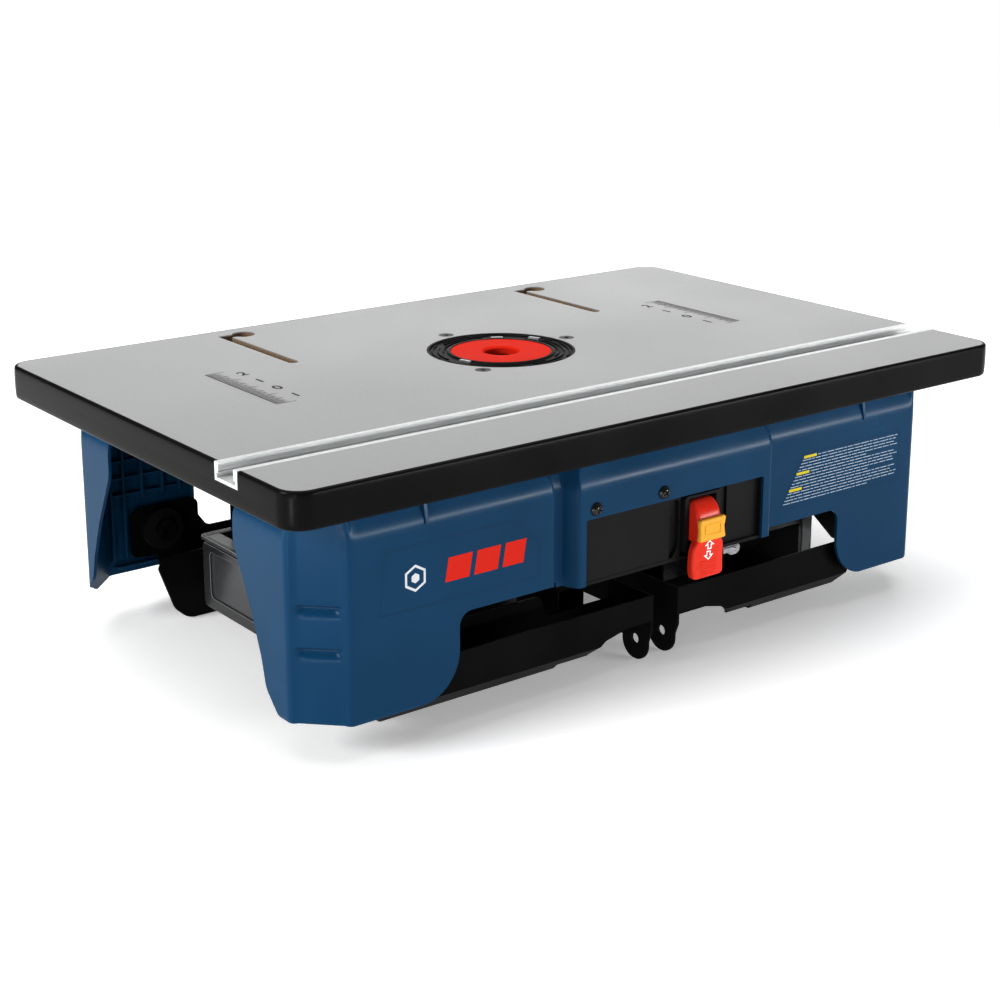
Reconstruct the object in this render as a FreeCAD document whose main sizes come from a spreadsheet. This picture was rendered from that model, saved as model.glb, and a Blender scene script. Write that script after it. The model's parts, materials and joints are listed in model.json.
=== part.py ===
import FreeCAD, Part
import math
import os
import re

# Router table with folding legs, drawn with its legs folded flat under the top.
# Origin: centre of the footprint, on the surface that the folded table stands on. X runs along the
# length, Y towards the back, Z up. Heights are given as drops below the working surface.

os.makedirs("parts", exist_ok=True)
doc = FreeCAD.newDocument("RouterTable")
Vector = FreeCAD.Vector
Rotation = FreeCAD.Rotation

DIMENSIONS = {
    # laminated top
    "fold_height": 206.0, "top_length": 660.4, "top_depth": 419.1, "top_thick": 25.5,
    "corner_radius": 18.0, "face_thick": 0.8, "backer_thick": 0.7, "band_thick": 3.0,
    # mitre channel
    "mitre_y": -132.0, "mitre_width": 29.0, "mitre_height": 12.5, "mitre_slot": 19.2,
    "mitre_undercut": 24.0, "mitre_floor": 2.2,
    # bit opening, rings and mounting plate
    "bit_y": 14.0, "ring_radius": 59.0, "ring_height": 10.0, "insert_radius": 39.8,
    "insert_height": 6.0, "bit_bore": 14.0, "plate_side": 200.0, "plate_thick": 8.0,
    "plate_bore": 34.0, "plate_screw_reach": 68.0, "plate_screw_radius": 3.0,
    "router_hole_reach": 75.0, "router_hole_radius": 3.3,
    # fence slots
    "fence_spacing": 304.8, "fence_slot_width": 8.5, "fence_front": 75.0, "fence_back": 189.5,
    "fence_entry_shift": 17.0, "fence_entry_radius": 9.5,
    # skirts
    "skirt_half": 300.0, "skirt_face": 180.0, "skirt_wall": 3.0, "skirt_drop": 178.5,
    "bevel_drop": 49.5, "bevel_in": 10.0, "facet": 30.0, "flange_width": 24.0,
    # switch box
    "panel_face": 187.0, "box_depth": 58.0, "box_wall": 2.5, "cover_thick": 3.0,
    "paddle_x": 38.0, "paddle_width": 25.0, "paddle_pin": 1.5,
    # folding legs
    "left_pivot_x": -226.0, "right_pivot_x": 249.5, "pivot_drop": 143.6, "leg_length": 225.5,
    "leg_sheet": 2.0, "leg_face": 172.0, "leg_inner": 121.0, "leg_top": 151.0,
    "leg_bottom": 190.5, "pivot_shoulder": 5.0, "pivot_hole": 5.05, "hub_radius": 17.0,
    "ear_y": 154.5, "ear_drop": 190.0, "ear_hole": 4.0,
    # accessory trays
    "tray_end": 220.0, "tray_start": 66.0, "tray_half_width": 107.5, "tray_top": 133.0,
    "tray_height": 54.0, "tray_wall": 2.5, "rail_sheet": 1.5,
}

sheet = doc.addObject("Spreadsheet::Sheet", "Dims")
for row, (alias, amount) in enumerate(DIMENSIONS.items(), start=1):
    sheet.set(f"A{row}", alias)
    sheet.set(f"B{row}", str(amount))
    sheet.setAlias(f"B{row}", alias)
doc.recompute()

nodes = {}
GROUND_PLANE = "XY_Plane"
TURNS = {
    "xy": Rotation(),
    "xz": Rotation(Vector(1, 0, 0), 90),
    "yz": Rotation(Vector(1, 1, 1), 120),
}
AXES = {
    "x": Rotation(Vector(0, 1, 0), 90),
    "y": Rotation(Vector(1, 0, 0), -90),
    "z": Rotation(),
}


def dim(alias):
    """Number held by one cell of the sheet."""
    return float(sheet.get(alias))


def below(drop):
    """Height of a level that lies this far under the working surface."""
    return dim("fold_height") - drop


def bind(item, property_name, size):
    """Bind a size to an expression of sheet aliases, or set it where it is a plain number."""
    if isinstance(size, str):
        item.setExpression(property_name, re.sub(r"([a-z_]{3,})", r"Dims.\1", size))
    else:
        setattr(item, property_name, size)


def box(name, size, corner):
    """Box with its lowest corner at the given point."""
    item = doc.addObject("Part::Box", name)
    for property_name, amount in zip(("Length", "Width", "Height"), size):
        bind(item, property_name, amount)
    item.Placement = FreeCAD.Placement(Vector(*corner), Rotation())
    return item


def cylinder(name, radius, height, start, axis="z"):
    """Cylinder that runs from the start point along one axis."""
    item = doc.addObject("Part::Cylinder", name)
    bind(item, "Radius", radius)
    bind(item, "Height", height)
    item.Placement = FreeCAD.Placement(Vector(*start), AXES[axis])
    return item


def cone(name, first_radius, last_radius, height, start, axis="z"):
    """Cone that runs from the start point along one axis."""
    item = doc.addObject("Part::Cone", name)
    item.Radius1 = first_radius
    item.Radius2 = last_radius
    bind(item, "Height", height)
    item.Placement = FreeCAD.Placement(Vector(*start), AXES[axis])
    return item


def corner_points(before, here, after, radius):
    """Start, middle and end of the arc that rounds one corner of an outline."""
    to_before = (before - here).normalize()
    to_after = (after - here).normalize()
    half_angle = to_before.getAngle(to_after) / 2
    reach = radius / math.tan(half_angle)
    centre = here + (to_before + to_after).normalize() * (radius / math.sin(half_angle))
    middle = centre + (here - centre).normalize() * radius
    return here + to_before * reach, middle, here + to_after * reach


def outline_edges(points):
    """Lines and arcs of a closed outline whose points are (u, v) or (u, v, corner radius)."""
    corners = []
    for index, point in enumerate(points):
        here = Vector(point[0], point[1], 0)
        before = Vector(points[index - 1][0], points[index - 1][1], 0)
        following = points[(index + 1) % len(points)]
        after = Vector(following[0], following[1], 0)
        if len(point) == 3 and point[2] > 0:
            corners.append(corner_points(before, here, after, point[2]))
        else:
            corners.append((here, None, here))
    edges = []
    for index, (first, middle, last) in enumerate(corners):
        if middle is not None:
            edges.append(Part.Arc(first, middle, last))
        next_first = corners[(index + 1) % len(corners)][0]
        if last.distanceToPoint(next_first) > 1e-6:
            edges.append(Part.LineSegment(last, next_first))
    return edges


def prism(name, plane, points, thickness, start, holes=()):
    """Padded sketch: an outline in one plane, thickened towards the plus side of the third axis."""
    body = doc.addObject("PartDesign::Body", name)
    sketch = body.newObject("Sketcher::SketchObject", name + "_outline")
    ground = [item for item in body.Origin.OriginFeatures if item.Role == GROUND_PLANE][0]
    sketch.AttachmentSupport = (ground, [""])
    sketch.MapMode = "FlatFace"
    sketch.addGeometry(outline_edges(points))
    for u, v, radius in holes:
        sketch.addGeometry(Part.Circle(Vector(u, v, 0), Vector(0, 0, 1), radius))
    pad = body.newObject("PartDesign::Pad", name + "_pad")
    pad.Profile = sketch
    pad.Reversed = plane == "xz"
    bind(pad, "Length", thickness)
    base = {"xy": (0, 0, start), "xz": (0, start, 0), "yz": (start, 0, 0)}[plane]
    body.Placement = FreeCAD.Placement(Vector(*base), TURNS[plane])
    return body


def fuse(name, items):
    """Union of several shapes that touch or overlap."""
    item = doc.addObject("Part::MultiFuse", name)
    item.Shapes = items
    item.Refine = True
    return item


def cut(name, base, tools):
    """Base shape with the tools taken away."""
    item = doc.addObject("Part::Cut", name)
    item.Base = base
    item.Tool = tools[0] if len(tools) == 1 else fuse(name + "_tools", tools)
    return item


def group(name, items):
    """Identical loose pieces that share one node."""
    item = doc.addObject("Part::Compound", name)
    item.Links = items
    return item


def node(name, item):
    """Register a finished piece under the name of its file."""
    item.Label = name
    nodes[name] = item
    return item


def rectangle(low_u, low_v, high_u, high_v, radius=0.0):
    """Closed rectangle with equal corner radii."""
    return [(low_u, low_v, radius), (high_u, low_v, radius), (high_u, high_v, radius), (low_u, high_v, radius)]


def offset_path(path, distance):
    """Open path moved sideways, to the left of its direction, by one distance."""
    moved = []
    for index, point in enumerate(path):
        here = Vector(point[0], point[1], 0)
        sides = []
        if index > 0:
            back = here - Vector(path[index - 1][0], path[index - 1][1], 0)
            sides.append(Vector(-back.y, back.x, 0).normalize())
        if index < len(path) - 1:
            ahead = Vector(path[index + 1][0], path[index + 1][1], 0) - here
            sides.append(Vector(-ahead.y, ahead.x, 0).normalize())
        normal = sides[0] if len(sides) == 1 else (sides[0] + sides[1]).normalize()
        place = here + normal * (distance / normal.dot(sides[0]))
        moved.append((place.x, place.y))
    return moved


def wall_outline(path, thickness):
    """Closed outline of a wall of one thickness that follows an open path on its left side."""
    return [(point[0], point[1]) for point in path] + offset_path(path, thickness)[::-1]


def mirrored(points, flip_u=1, flip_v=1):
    """Outline with either coordinate turned over."""
    return [(point[0] * flip_u, point[1] * flip_v) + tuple(point[2:]) for point in points]


# ---------------------------------------------------------------- laminated top

HALF_LENGTH = dim("top_length") / 2
HALF_DEPTH = dim("top_depth") / 2
BAND = dim("band_thick")
BIT_Y = dim("bit_y")
MITRE_FRONT = dim("mitre_y") - dim("mitre_width") / 2
PLATE_SCREW_ANGLES = (94, 1, 221)
FENCE_SIDES = (-1, 1)


def plate_screw_places():
    """Centres of the three screws that hold the mounting plate."""
    reach = dim("plate_screw_reach")
    places = []
    for angle in PLATE_SCREW_ANGLES:
        turn = math.radians(angle)
        places.append((reach * math.cos(turn), BIT_Y + reach * math.sin(turn)))
    return places


def fence_slot_tools(name):
    """Two hook-shaped fence slots, each with a round entry for the bolt head, through the top."""
    tools = []
    half_slot = dim("fence_slot_width") / 2
    back = dim("fence_back")
    for side in FENCE_SIDES:
        centre = side * dim("fence_spacing") / 2
        entry = centre + dim("fence_entry_shift")
        hook = [
            (centre - half_slot, dim("fence_front"), half_slot - 0.05),
            (centre + half_slot, dim("fence_front"), half_slot - 0.05),
            (centre + half_slot, back - 2 * half_slot),
            (entry, back - 2 * half_slot),
            (entry, back),
            (centre - half_slot, back),
        ]
        label = f"{name}_{'left' if side < 0 else 'right'}"
        tools.append(prism(label, "xy", hook, "top_thick + 20", below(40)))
        entry_at = (entry, back - half_slot, below(40))
        tools.append(cylinder(label + "_entry", "fence_entry_radius", "top_thick + 20", entry_at))
    return tools


def top_sheet(name, thickness, drop, extra_tools, mitre_depth):
    """One layer of the laminated top, with its openings."""
    outline = rectangle(
        -HALF_LENGTH + BAND, -HALF_DEPTH + BAND, HALF_LENGTH - BAND, HALF_DEPTH - BAND,
        dim("corner_radius") - BAND)
    holes = [(0, BIT_Y, dim("ring_radius"))]
    holes += [(x, y, dim("plate_screw_radius")) for x, y in plate_screw_places()]
    layer = prism(name + "_blank", "xy", outline, thickness, below(drop), holes)
    tools = fence_slot_tools(name + "_slot") + extra_tools
    if mitre_depth:
        corner = (-HALF_LENGTH - 1, MITRE_FRONT, below(mitre_depth))
        tools.append(box(name + "_groove", ("top_length + 2", "mitre_width", 30.0), corner))
    return node(name, cut(name, layer, tools))


HEAD_RADIUS = 6.25
HEAD_DEPTH = 3.4


def head_sinks(name):
    """Countersinks for the mounting-plate screws."""
    sinks = []
    for index, (x, y) in enumerate(plate_screw_places(), start=1):
        start = (x, y, below(HEAD_DEPTH))
        sinks.append(cone(f"{name}_sink_{index}", 3.0, HEAD_RADIUS, HEAD_DEPTH, start))
    return sinks


band_outer = prism(
    "band_outer", "xy",
    rectangle(-HALF_LENGTH, -HALF_DEPTH, HALF_LENGTH, HALF_DEPTH, dim("corner_radius")),
    "top_thick", below(dim("top_thick")))
band_inner = prism(
    "band_inner", "xy",
    rectangle(
        -HALF_LENGTH + BAND, -HALF_DEPTH + BAND, HALF_LENGTH - BAND, HALF_DEPTH - BAND,
        dim("corner_radius") - BAND),
    "top_thick + 2", below(dim("top_thick") + 1))
band_notch = box(
    "band_notch", ("top_length + 2", "mitre_width", 30.0),
    (-HALF_LENGTH - 1, MITRE_FRONT, below(dim("mitre_height"))))
node("edge_band", cut("edge_band", band_outer, [band_inner, band_notch]))


# ---------------------------------------------------------------- mitre channel

SLOT_LIP = 3.2
RIDGE = 0.8


def mitre_section():
    """Half of the extruded channel's section, from its middle to its outer wall."""
    half = dim("mitre_width") / 2
    slot = dim("mitre_slot") / 2
    undercut = dim("mitre_undercut") / 2
    floor = below(dim("mitre_height") - dim("mitre_floor"))
    step = floor + SLOT_LIP
    return [
        (half, below(0)),
        (slot, below(0)),
        (slot, step + 2 * RIDGE),
        (slot + RIDGE, step + 2 * RIDGE),
        (slot + RIDGE, step + RIDGE),
        (slot, step + RIDGE),
        (slot, step),
        (undercut, step),
        (undercut, floor),
    ]


channel_half = mitre_section()
centre_y = dim("mitre_y")
channel_outline = [(centre_y - half, below(dim("mitre_height"))) for half in (dim("mitre_width") / 2,)]
channel_outline += [(centre_y - u, v) for u, v in channel_half]
channel_outline += [(centre_y + u, v) for u, v in channel_half[::-1]]
channel_outline += [(centre_y + dim("mitre_width") / 2, below(dim("mitre_height")))]
channel_bar = prism("channel_bar", "yz", channel_outline, "top_length", -HALF_LENGTH)
CHANNEL_SCREWS = (-280, -140, 0, 140, 280)
CHANNEL_SCREW_RADIUS = 1.8
CHANNEL_HEAD_RADIUS = 3.6
channel_holes = []
channel_screws = []
for index, x in enumerate(CHANNEL_SCREWS, start=1):
    foot = below(dim("mitre_height") + 9)
    seat = below(dim("mitre_height"))
    channel_holes.append(cone(
        f"channel_sink_{index}", CHANNEL_SCREW_RADIUS, CHANNEL_HEAD_RADIUS, "mitre_floor", (x, centre_y, seat)))
    shank = cylinder(f"channel_shank_{index}", CHANNEL_SCREW_RADIUS, 9.0, (x, centre_y, foot))
    head = cone(
        f"channel_head_{index}", CHANNEL_SCREW_RADIUS, CHANNEL_HEAD_RADIUS, "mitre_floor", (x, centre_y, seat))
    channel_screws.append(fuse(f"channel_screw_{index}", [shank, head]))
node("mitre_channel", cut("mitre_channel", channel_bar, channel_holes))
node("mitre_channel_screws", group("mitre_channel_screws", channel_screws))
pilot_places = [(x, centre_y, dim("mitre_height") + 9, CHANNEL_SCREW_RADIUS, 9.0) for x in CHANNEL_SCREWS]


# ---------------------------------------------------------------- bit rings and mounting plate

RING_LEDGE = 34.0
RING_RELIEF = 0.2
INSERT_RECESS = 0.8
ring_floor = below(dim("top_thick"))
ring_blank = cylinder("ring_blank", "ring_radius", "top_thick", (0, BIT_Y, ring_floor))
ring_seat = cylinder(
    "ring_seat", "insert_radius + 0.2", "insert_height + 1",
    (0, BIT_Y, below(dim("insert_height") + INSERT_RECESS)))
ring_through = cylinder("ring_through", RING_LEDGE, "top_thick + 2", (0, BIT_Y, ring_floor - 1))
CLIP_PLACES = ((57, 45.0), (21, 51.5), (194, 44.5))
clip_slots = []
clips = []
for index, (angle, reach) in enumerate(CLIP_PLACES, start=1):
    for label, length, width, depth, found in (("slot", 10.0, 3.4, 2.4, clip_slots), ("clip", 9.6, 3.0, 2.2, clips)):
        piece = doc.addObject("Part::Box", f"ring_{label}_{index}")
        piece.Length = length
        piece.Width = width
        piece.Height = depth + (1 if label == "slot" else 0)
        turn = Rotation(Vector(0, 0, 1), angle + 90)
        around = math.radians(angle)
        middle = Vector(reach * math.cos(around), BIT_Y + reach * math.sin(around), below(2.4))
        piece.Placement = FreeCAD.Placement(middle - turn.multVec(Vector(length / 2, width / 2, 0)), turn)
        found.append(piece)
node("insert_clips", group("insert_clips", clips))
support_ring = node("support_ring", cut("support_ring", ring_blank, [ring_seat, ring_through] + clip_slots))

insert_floor = below(dim("insert_height") + INSERT_RECESS)
insert_blank = cylinder("insert_blank", "insert_radius", "insert_height", (0, BIT_Y, insert_floor))
insert_bore = cylinder("insert_bore", "bit_bore", "insert_height + 2", (0, BIT_Y, insert_floor - 1))
insert_chamfer = cone("insert_chamfer", 14.0, 15.5, 1.5, (0, BIT_Y, below(INSERT_RECESS + 1.5)))
node("insert_ring", cut("insert_ring", insert_blank, [insert_bore, insert_chamfer]))

half_plate = dim("plate_side") / 2
plate_floor = below(dim("top_thick") + dim("plate_thick"))
plate_holes = [(x, y, dim("plate_screw_radius")) for x, y in plate_screw_places()]
for angle in (40, 160, 280):
    turn = math.radians(angle)
    reach = dim("router_hole_reach")
    place = (reach * math.cos(turn), BIT_Y + reach * math.sin(turn), dim("router_hole_radius"))
    plate_holes.append(place)
plate_holes.append((0, BIT_Y, dim("plate_bore")))
node("router_mounting_plate", prism(
    "router_mounting_plate", "xy",
    rectangle(-half_plate, BIT_Y - half_plate, half_plate, BIT_Y + half_plate, 20),
    "plate_thick", plate_floor, plate_holes))

plate_screws = []
for index, (x, y) in enumerate(plate_screw_places(), start=1):
    shank = cylinder(
        f"plate_shank_{index}", "plate_screw_radius", "top_thick + plate_thick - 4", (x, y, plate_floor + 1))
    head = cone(f"plate_head_{index}", 3.0, HEAD_RADIUS, HEAD_DEPTH, (x, y, below(HEAD_DEPTH)))
    socket = cylinder(f"plate_socket_{index}", 1.9, 3.0, (x, y, below(2.2)))
    plate_screws.append(cut(f"plate_screw_{index}", fuse(f"plate_screw_blank_{index}", [shank, head]), [socket]))
node("mounting_plate_screws", group("mounting_plate_screws", plate_screws))


# ---------------------------------------------------------------- blue skirts

HALF_SKIRT = dim("skirt_half")
FACE = dim("skirt_face")
PANEL = dim("panel_face")
WALL = dim("skirt_wall")
FACET = dim("facet")
SKIRT_FLOOR = below(dim("skirt_drop"))
BEVEL = below(dim("bevel_drop"))
UNDERSIDE = below(dim("top_thick"))
PIVOT_Z = below(dim("pivot_drop"))
PIVOTS = {-1: dim("left_pivot_x"), 1: dim("right_pivot_x")}
SCREW_PILOT = 2.0


def skirt_shell(name, path):
    """Moulded wall along a path, upright below the bevel line and leaning in above it."""
    upright = prism(
        name + "_upright", "xy", wall_outline(path, WALL), "skirt_drop - bevel_drop", SKIRT_FLOOR)
    top_path = offset_path(path, dim("bevel_in"))
    sections = []
    for label, route, level in (("low", path, BEVEL), ("high", top_path, UNDERSIDE)):
        section = doc.addObject("Sketcher::SketchObject", f"{name}_{label}")
        section.addGeometry(outline_edges(wall_outline(route, WALL)))
        section.Placement = FreeCAD.Placement(Vector(0, 0, level), Rotation())
        sections.append(section)
    bevel = doc.addObject("Part::Loft", name + "_bevel")
    bevel.Sections = sections
    bevel.Solid = True
    bevel.Ruled = True
    return [upright, bevel]


def pivot_boss(name, x, side):
    """Round boss on the inside of the skirt that carries one leg pivot; side is -1 in front."""
    boss_start = side * dim("leg_face") - (5.6 if side < 0 else -0.3)
    return cylinder(name, 13.0, 5.3, (x, boss_start, PIVOT_Z), "y")


def pivot_thread(name, x, side):
    """Blind thread for a leg pivot bolt."""
    start = side * dim("leg_face") - (4.4 if side < 0 else -0.2)
    return cylinder(name, 3.0, 4.2, (x, start, PIVOT_Z), "y")


def return_taper(name, side, first_y, x_low):
    """Tool that tapers the free edge of an end return; side is -1 in front."""
    edge = [
        (first_y, UNDERSIDE + 1), (first_y, below(71)), (first_y + 21, below(112), 40),
        (first_y + 33, below(143), 30), (first_y + 38, below(163), 10), (first_y + 54, SKIRT_FLOOR - 1),
        (40, SKIRT_FLOOR - 1), (40, UNDERSIDE + 1),
    ]
    return prism(name, "yz", mirrored(edge, side), 40.0, x_low)


front_path = [
    (-HALF_SKIRT, -83), (-HALF_SKIRT, -FACE + FACET), (-HALF_SKIRT + FACET, -FACE), (-101, -FACE),
    (-98, -FACE + 7), (-89, -FACE + 7), (-85, -PANEL), (103, -PANEL), (110, -FACE),
    (HALF_SKIRT - FACET, -FACE), (HALF_SKIRT, -FACE + FACET), (HALF_SKIRT, -83),
]
front_solids = skirt_shell("front_wall", front_path)
flange_y = -FACE + dim("bevel_in") + 1
front_solids.append(box("front_flange", (520.0, "flange_width", "skirt_wall"), (-260, flange_y, UNDERSIDE - WALL)))
for side in (-1, 1):
    corner_x = side * (HALF_SKIRT - 12) - (22 if side > 0 else 0)
    front_solids.append(box(
        f"front_end_flange_{side + 2}", (22.0, 60.0, "skirt_wall"), (corner_x, -152, UNDERSIDE - WALL)))
    front_solids.append(pivot_boss(f"front_boss_{side + 2}", PIVOTS[side], -1))
    rib_x = side * 210.5 - 1
    rib = [(-FACE, BEVEL), (-FACE + 12, BEVEL), (-FACE + 12, UNDERSIDE), (-FACE + 3, UNDERSIDE)]
    front_solids.append(prism(f"front_gusset_{side + 2}", "yz", rib, 2.0, rib_x))
    for reach in (150, 195):
        rib_corner = (side * reach - 1, -FACE + 1.5, BEVEL - 55)
        front_solids.append(box(f"front_rib_{side + 2}_{reach}", (2.0, 6.0, 55.0), rib_corner))
front_tools = [
    prism(
        "front_window", "xz",
        [(-217, SKIRT_FLOOR - 1), (-217, SKIRT_FLOOR), (-182, SKIRT_FLOOR, 33), (-182, below(119), 10),
         (-95, below(119)), (-95, below(122)), (106, below(122)), (106, below(119)),
         (187, below(119), 10), (187, SKIRT_FLOOR, 33), (222, SKIRT_FLOOR), (222, SKIRT_FLOOR - 1)],
        40.0, -PANEL - 2),
    box("switch_opening", (173.0, 10.0, 50.0), (-78, -PANEL - 1, below(123))),
    return_taper("front_taper_left", -1, -83 * -1, -HALF_SKIRT - 5),
    return_taper("front_taper_right", -1, -83 * -1, HALF_SKIRT - 35),
]
for side in (-1, 1):
    front_tools.append(pivot_thread(f"front_thread_{side + 2}", PIVOTS[side], -1))
    for step, drop in enumerate((101, 130), start=1):
        groove = doc.addObject("Part::Box", f"facet_groove_{side + 2}_{step}")
        groove.Length = 31.0
        groove.Width = 2.4
        groove.Height = 5.0
        turn = Rotation(Vector(0, 0, 1), side * 45)
        middle = Vector(side * (HALF_SKIRT - FACET / 2), -FACE + FACET / 2, below(drop))
        groove.Placement = FreeCAD.Placement(middle - turn.multVec(Vector(15.5, 1.2, 0)), turn)
        front_tools.append(groove)
PANEL_SCREWS = ((-69.5, 66.5), (-6, 66.5))
PANEL_SCREW_RADIUS = 2.1
for index, (x, drop) in enumerate(PANEL_SCREWS, start=1):
    front_tools.append(cylinder(f"panel_hole_{index}", PANEL_SCREW_RADIUS, 10.0, (x, -PANEL - 2, below(drop)), "y"))

SKIRT_SCREWS_FRONT = (-240, -130, 0, 130, 240)
SKIRT_SCREWS_REAR = (-262, -212, 212, 262)
skirt_screw_places = [(x, -FACE + 24) for x in SKIRT_SCREWS_FRONT]
skirt_screw_places += [(x, FACE - 24) for x in SKIRT_SCREWS_REAR]
skirt_screw_places += [(side * (HALF_SKIRT - 24), -105) for side in (-1, 1)]
screw_holes = {}
for index, (x, y) in enumerate(skirt_screw_places, start=1):
    screw_holes[(x, y)] = cylinder(f"skirt_hole_{index}", SCREW_PILOT, 8.0, (x, y, UNDERSIDE - WALL - 2))
front_tools += [hole for (x, y), hole in screw_holes.items() if y < 0]
node("front_skirt", cut("front_skirt", fuse("front_skirt_blank", front_solids), front_tools))

for side, label in ((-1, "left"), (1, "right")):
    path = [
        (side * HALF_SKIRT, 103), (side * HALF_SKIRT, FACE - FACET), (side * (HALF_SKIRT - FACET), FACE),
        (side * 191, FACE),
    ]
    if side < 0:
        path = path[::-1]
    solids = skirt_shell(f"rear_{label}_wall", path)
    flange_x = -HALF_SKIRT + 12 if side < 0 else 192
    solids.append(box(
        f"rear_{label}_flange", (96.0, "flange_width", "skirt_wall"),
        (flange_x, FACE - dim("bevel_in") - 1 - dim("flange_width"), UNDERSIDE - WALL)))
    solids.append(pivot_boss(f"rear_{label}_boss", PIVOTS[side], 1))
    for reach in (205, 266):
        rib_corner = (side * reach - 1, FACE - 6.5, SKIRT_FLOOR + 40)
        solids.append(box(f"rear_{label}_rib_{reach}", (2.0, 5.0, 110.0), rib_corner))
    for drop in (88, 113):
        solids.append(box(
            f"rear_{label}_shelf_{drop}", (74.0, 5.0, 2.0), (side * 231 - 37, FACE - 6.5, below(drop))))
    bottom = [
        (side * 272, SKIRT_FLOOR - 1), (side * 268, SKIRT_FLOOR + 2.5, 4), (side * 188, SKIRT_FLOOR + 2.5),
        (side * 188, SKIRT_FLOOR - 1),
    ]
    tools = [
        return_taper(f"rear_{label}_taper", 1, 103, side * HALF_SKIRT - (5 if side < 0 else 35)),
        prism(f"rear_{label}_bottom", "xz", bottom, 20.0, FACE - 10),
        pivot_thread(f"rear_{label}_thread", PIVOTS[side], 1),
    ]
    for step, drop in enumerate((101, 130), start=1):
        groove = doc.addObject("Part::Box", f"rear_{label}_groove_{step}")
        groove.Length = 31.0
        groove.Width = 2.4
        groove.Height = 5.0
        turn = Rotation(Vector(0, 0, 1), -side * 45)
        middle = Vector(side * (HALF_SKIRT - FACET / 2), FACE - FACET / 2, below(drop))
        groove.Placement = FreeCAD.Placement(middle - turn.multVec(Vector(15.5, 1.2, 0)), turn)
        tools.append(groove)
    tools += [hole for (x, y), hole in screw_holes.items() if y > 0 and x * side > 0]
    node(f"rear_{label}_skirt", cut(f"rear_{label}_skirt", fuse(f"rear_{label}_blank", solids), tools))

SCREW_LENGTH = 18.0
skirt_screws = []
for index, (x, y) in enumerate(skirt_screw_places, start=1):
    head = cylinder(f"skirt_head_{index}", 4.2, 2.4, (x, y, UNDERSIDE - WALL - 2.4))
    shank = cylinder(f"skirt_shank_{index}", SCREW_PILOT, SCREW_LENGTH, (x, y, UNDERSIDE - WALL))
    skirt_screws.append(fuse(f"skirt_screw_{index}", [head, shank]))
    pilot_places.append((x, y, dim("top_thick"), SCREW_PILOT, SCREW_LENGTH - WALL))
node("skirt_screws", group("skirt_screws", skirt_screws))


# ---------------------------------------------------------------- switch box

BOX_LEFT = -81.0
BOX_WIDTH = 178.0
BOX_FRONT = -PANEL + WALL
BOX_TOP = below(70)
BOX_FLOOR = below(123)
BOX_WALL = dim("box_wall")
BOX_BACK = BOX_FRONT + dim("box_depth")
PADDLE_X = dim("paddle_x") - 5.5
BEZEL_FRONT = -PANEL
GLAND_Y = -150.0
GLAND_Z = below(97)
OUTLETS = {"router_outlet": -36.0, "accessory_outlet": 72.0}

box_blank = box("box_blank", (BOX_WIDTH, "box_depth", BOX_TOP - BOX_FLOOR), (BOX_LEFT, BOX_FRONT, BOX_FLOOR))
box_space = box(
    "box_space",
    (BOX_WIDTH - 2 * BOX_WALL, dim("box_depth") - BOX_WALL + 1, BOX_TOP - BOX_FLOOR - 2 * BOX_WALL),
    (BOX_LEFT + BOX_WALL, BOX_FRONT - 1, BOX_FLOOR + BOX_WALL))
box_ears = []
box_holes = []
box_screws = []
for index, (x, drop) in enumerate(PANEL_SCREWS, start=1):
    box_ears.append(box(f"box_ear_{index}", (16.0, 5.0, 16.0), (x - 8, BOX_FRONT, below(drop + 6))))
    box_holes.append(cylinder(f"box_hole_{index}", PANEL_SCREW_RADIUS, 8.0, (x, BOX_FRONT - 1, below(drop)), "y"))
    head = cylinder(f"box_screw_head_{index}", 4.0, 2.5, (x, -PANEL - 2.5, below(drop)), "y")
    dome = cone(f"box_screw_dome_{index}", 2.6, 4.0, 0.9, (x, -PANEL - 3.4, below(drop)), "y")
    shank = cylinder(f"box_screw_shank_{index}", PANEL_SCREW_RADIUS, 8.0, (x, -PANEL, below(drop)), "y")
    blank = fuse(f"box_screw_blank_{index}", [head, dome, shank])
    cross = [
        box(f"cross_wide_{index}", (4.0, 2.0, 0.9), (x - 2, -PANEL - 3.5, below(drop) - 0.45)),
        box(f"cross_tall_{index}", (0.9, 2.0, 4.0), (x - 0.45, -PANEL - 3.5, below(drop) - 2)),
    ]
    box_screws.append(cut(f"box_screw_{index}", blank, cross))
node("switch_box_screws", group("switch_box_screws", box_screws))
divider = box("box_divider", (2.0, 6.0, 47.0), (51.5, BOX_FRONT, BOX_FLOOR + 1))
blank_plate = box("box_blank_plate", (43.0, 2.5, 48.0), (53, BOX_FRONT + 2.5, BOX_FLOOR + 1))
blank_rim = box("box_blank_rim", (1.6, 2.5, 32.0), (60, BOX_FRONT + 0.5, below(107)))
box_holes.append(cylinder("gland_hole", 8.0, 8.0, (BOX_LEFT + BOX_WIDTH - 5, GLAND_Y, GLAND_Z), "x"))
for label, x in OUTLETS.items():
    box_holes.append(box(label + "_hole", (30.0, 8.0, 30.0), (x - 15, BOX_BACK - 5, below(111))))
box_shell = fuse(
    "box_shell",
    [cut("box_hollow", box_blank, [box_space]), divider, blank_plate, blank_rim] + box_ears)
node("switch_box", cut("switch_box", box_shell, box_holes))

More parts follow.
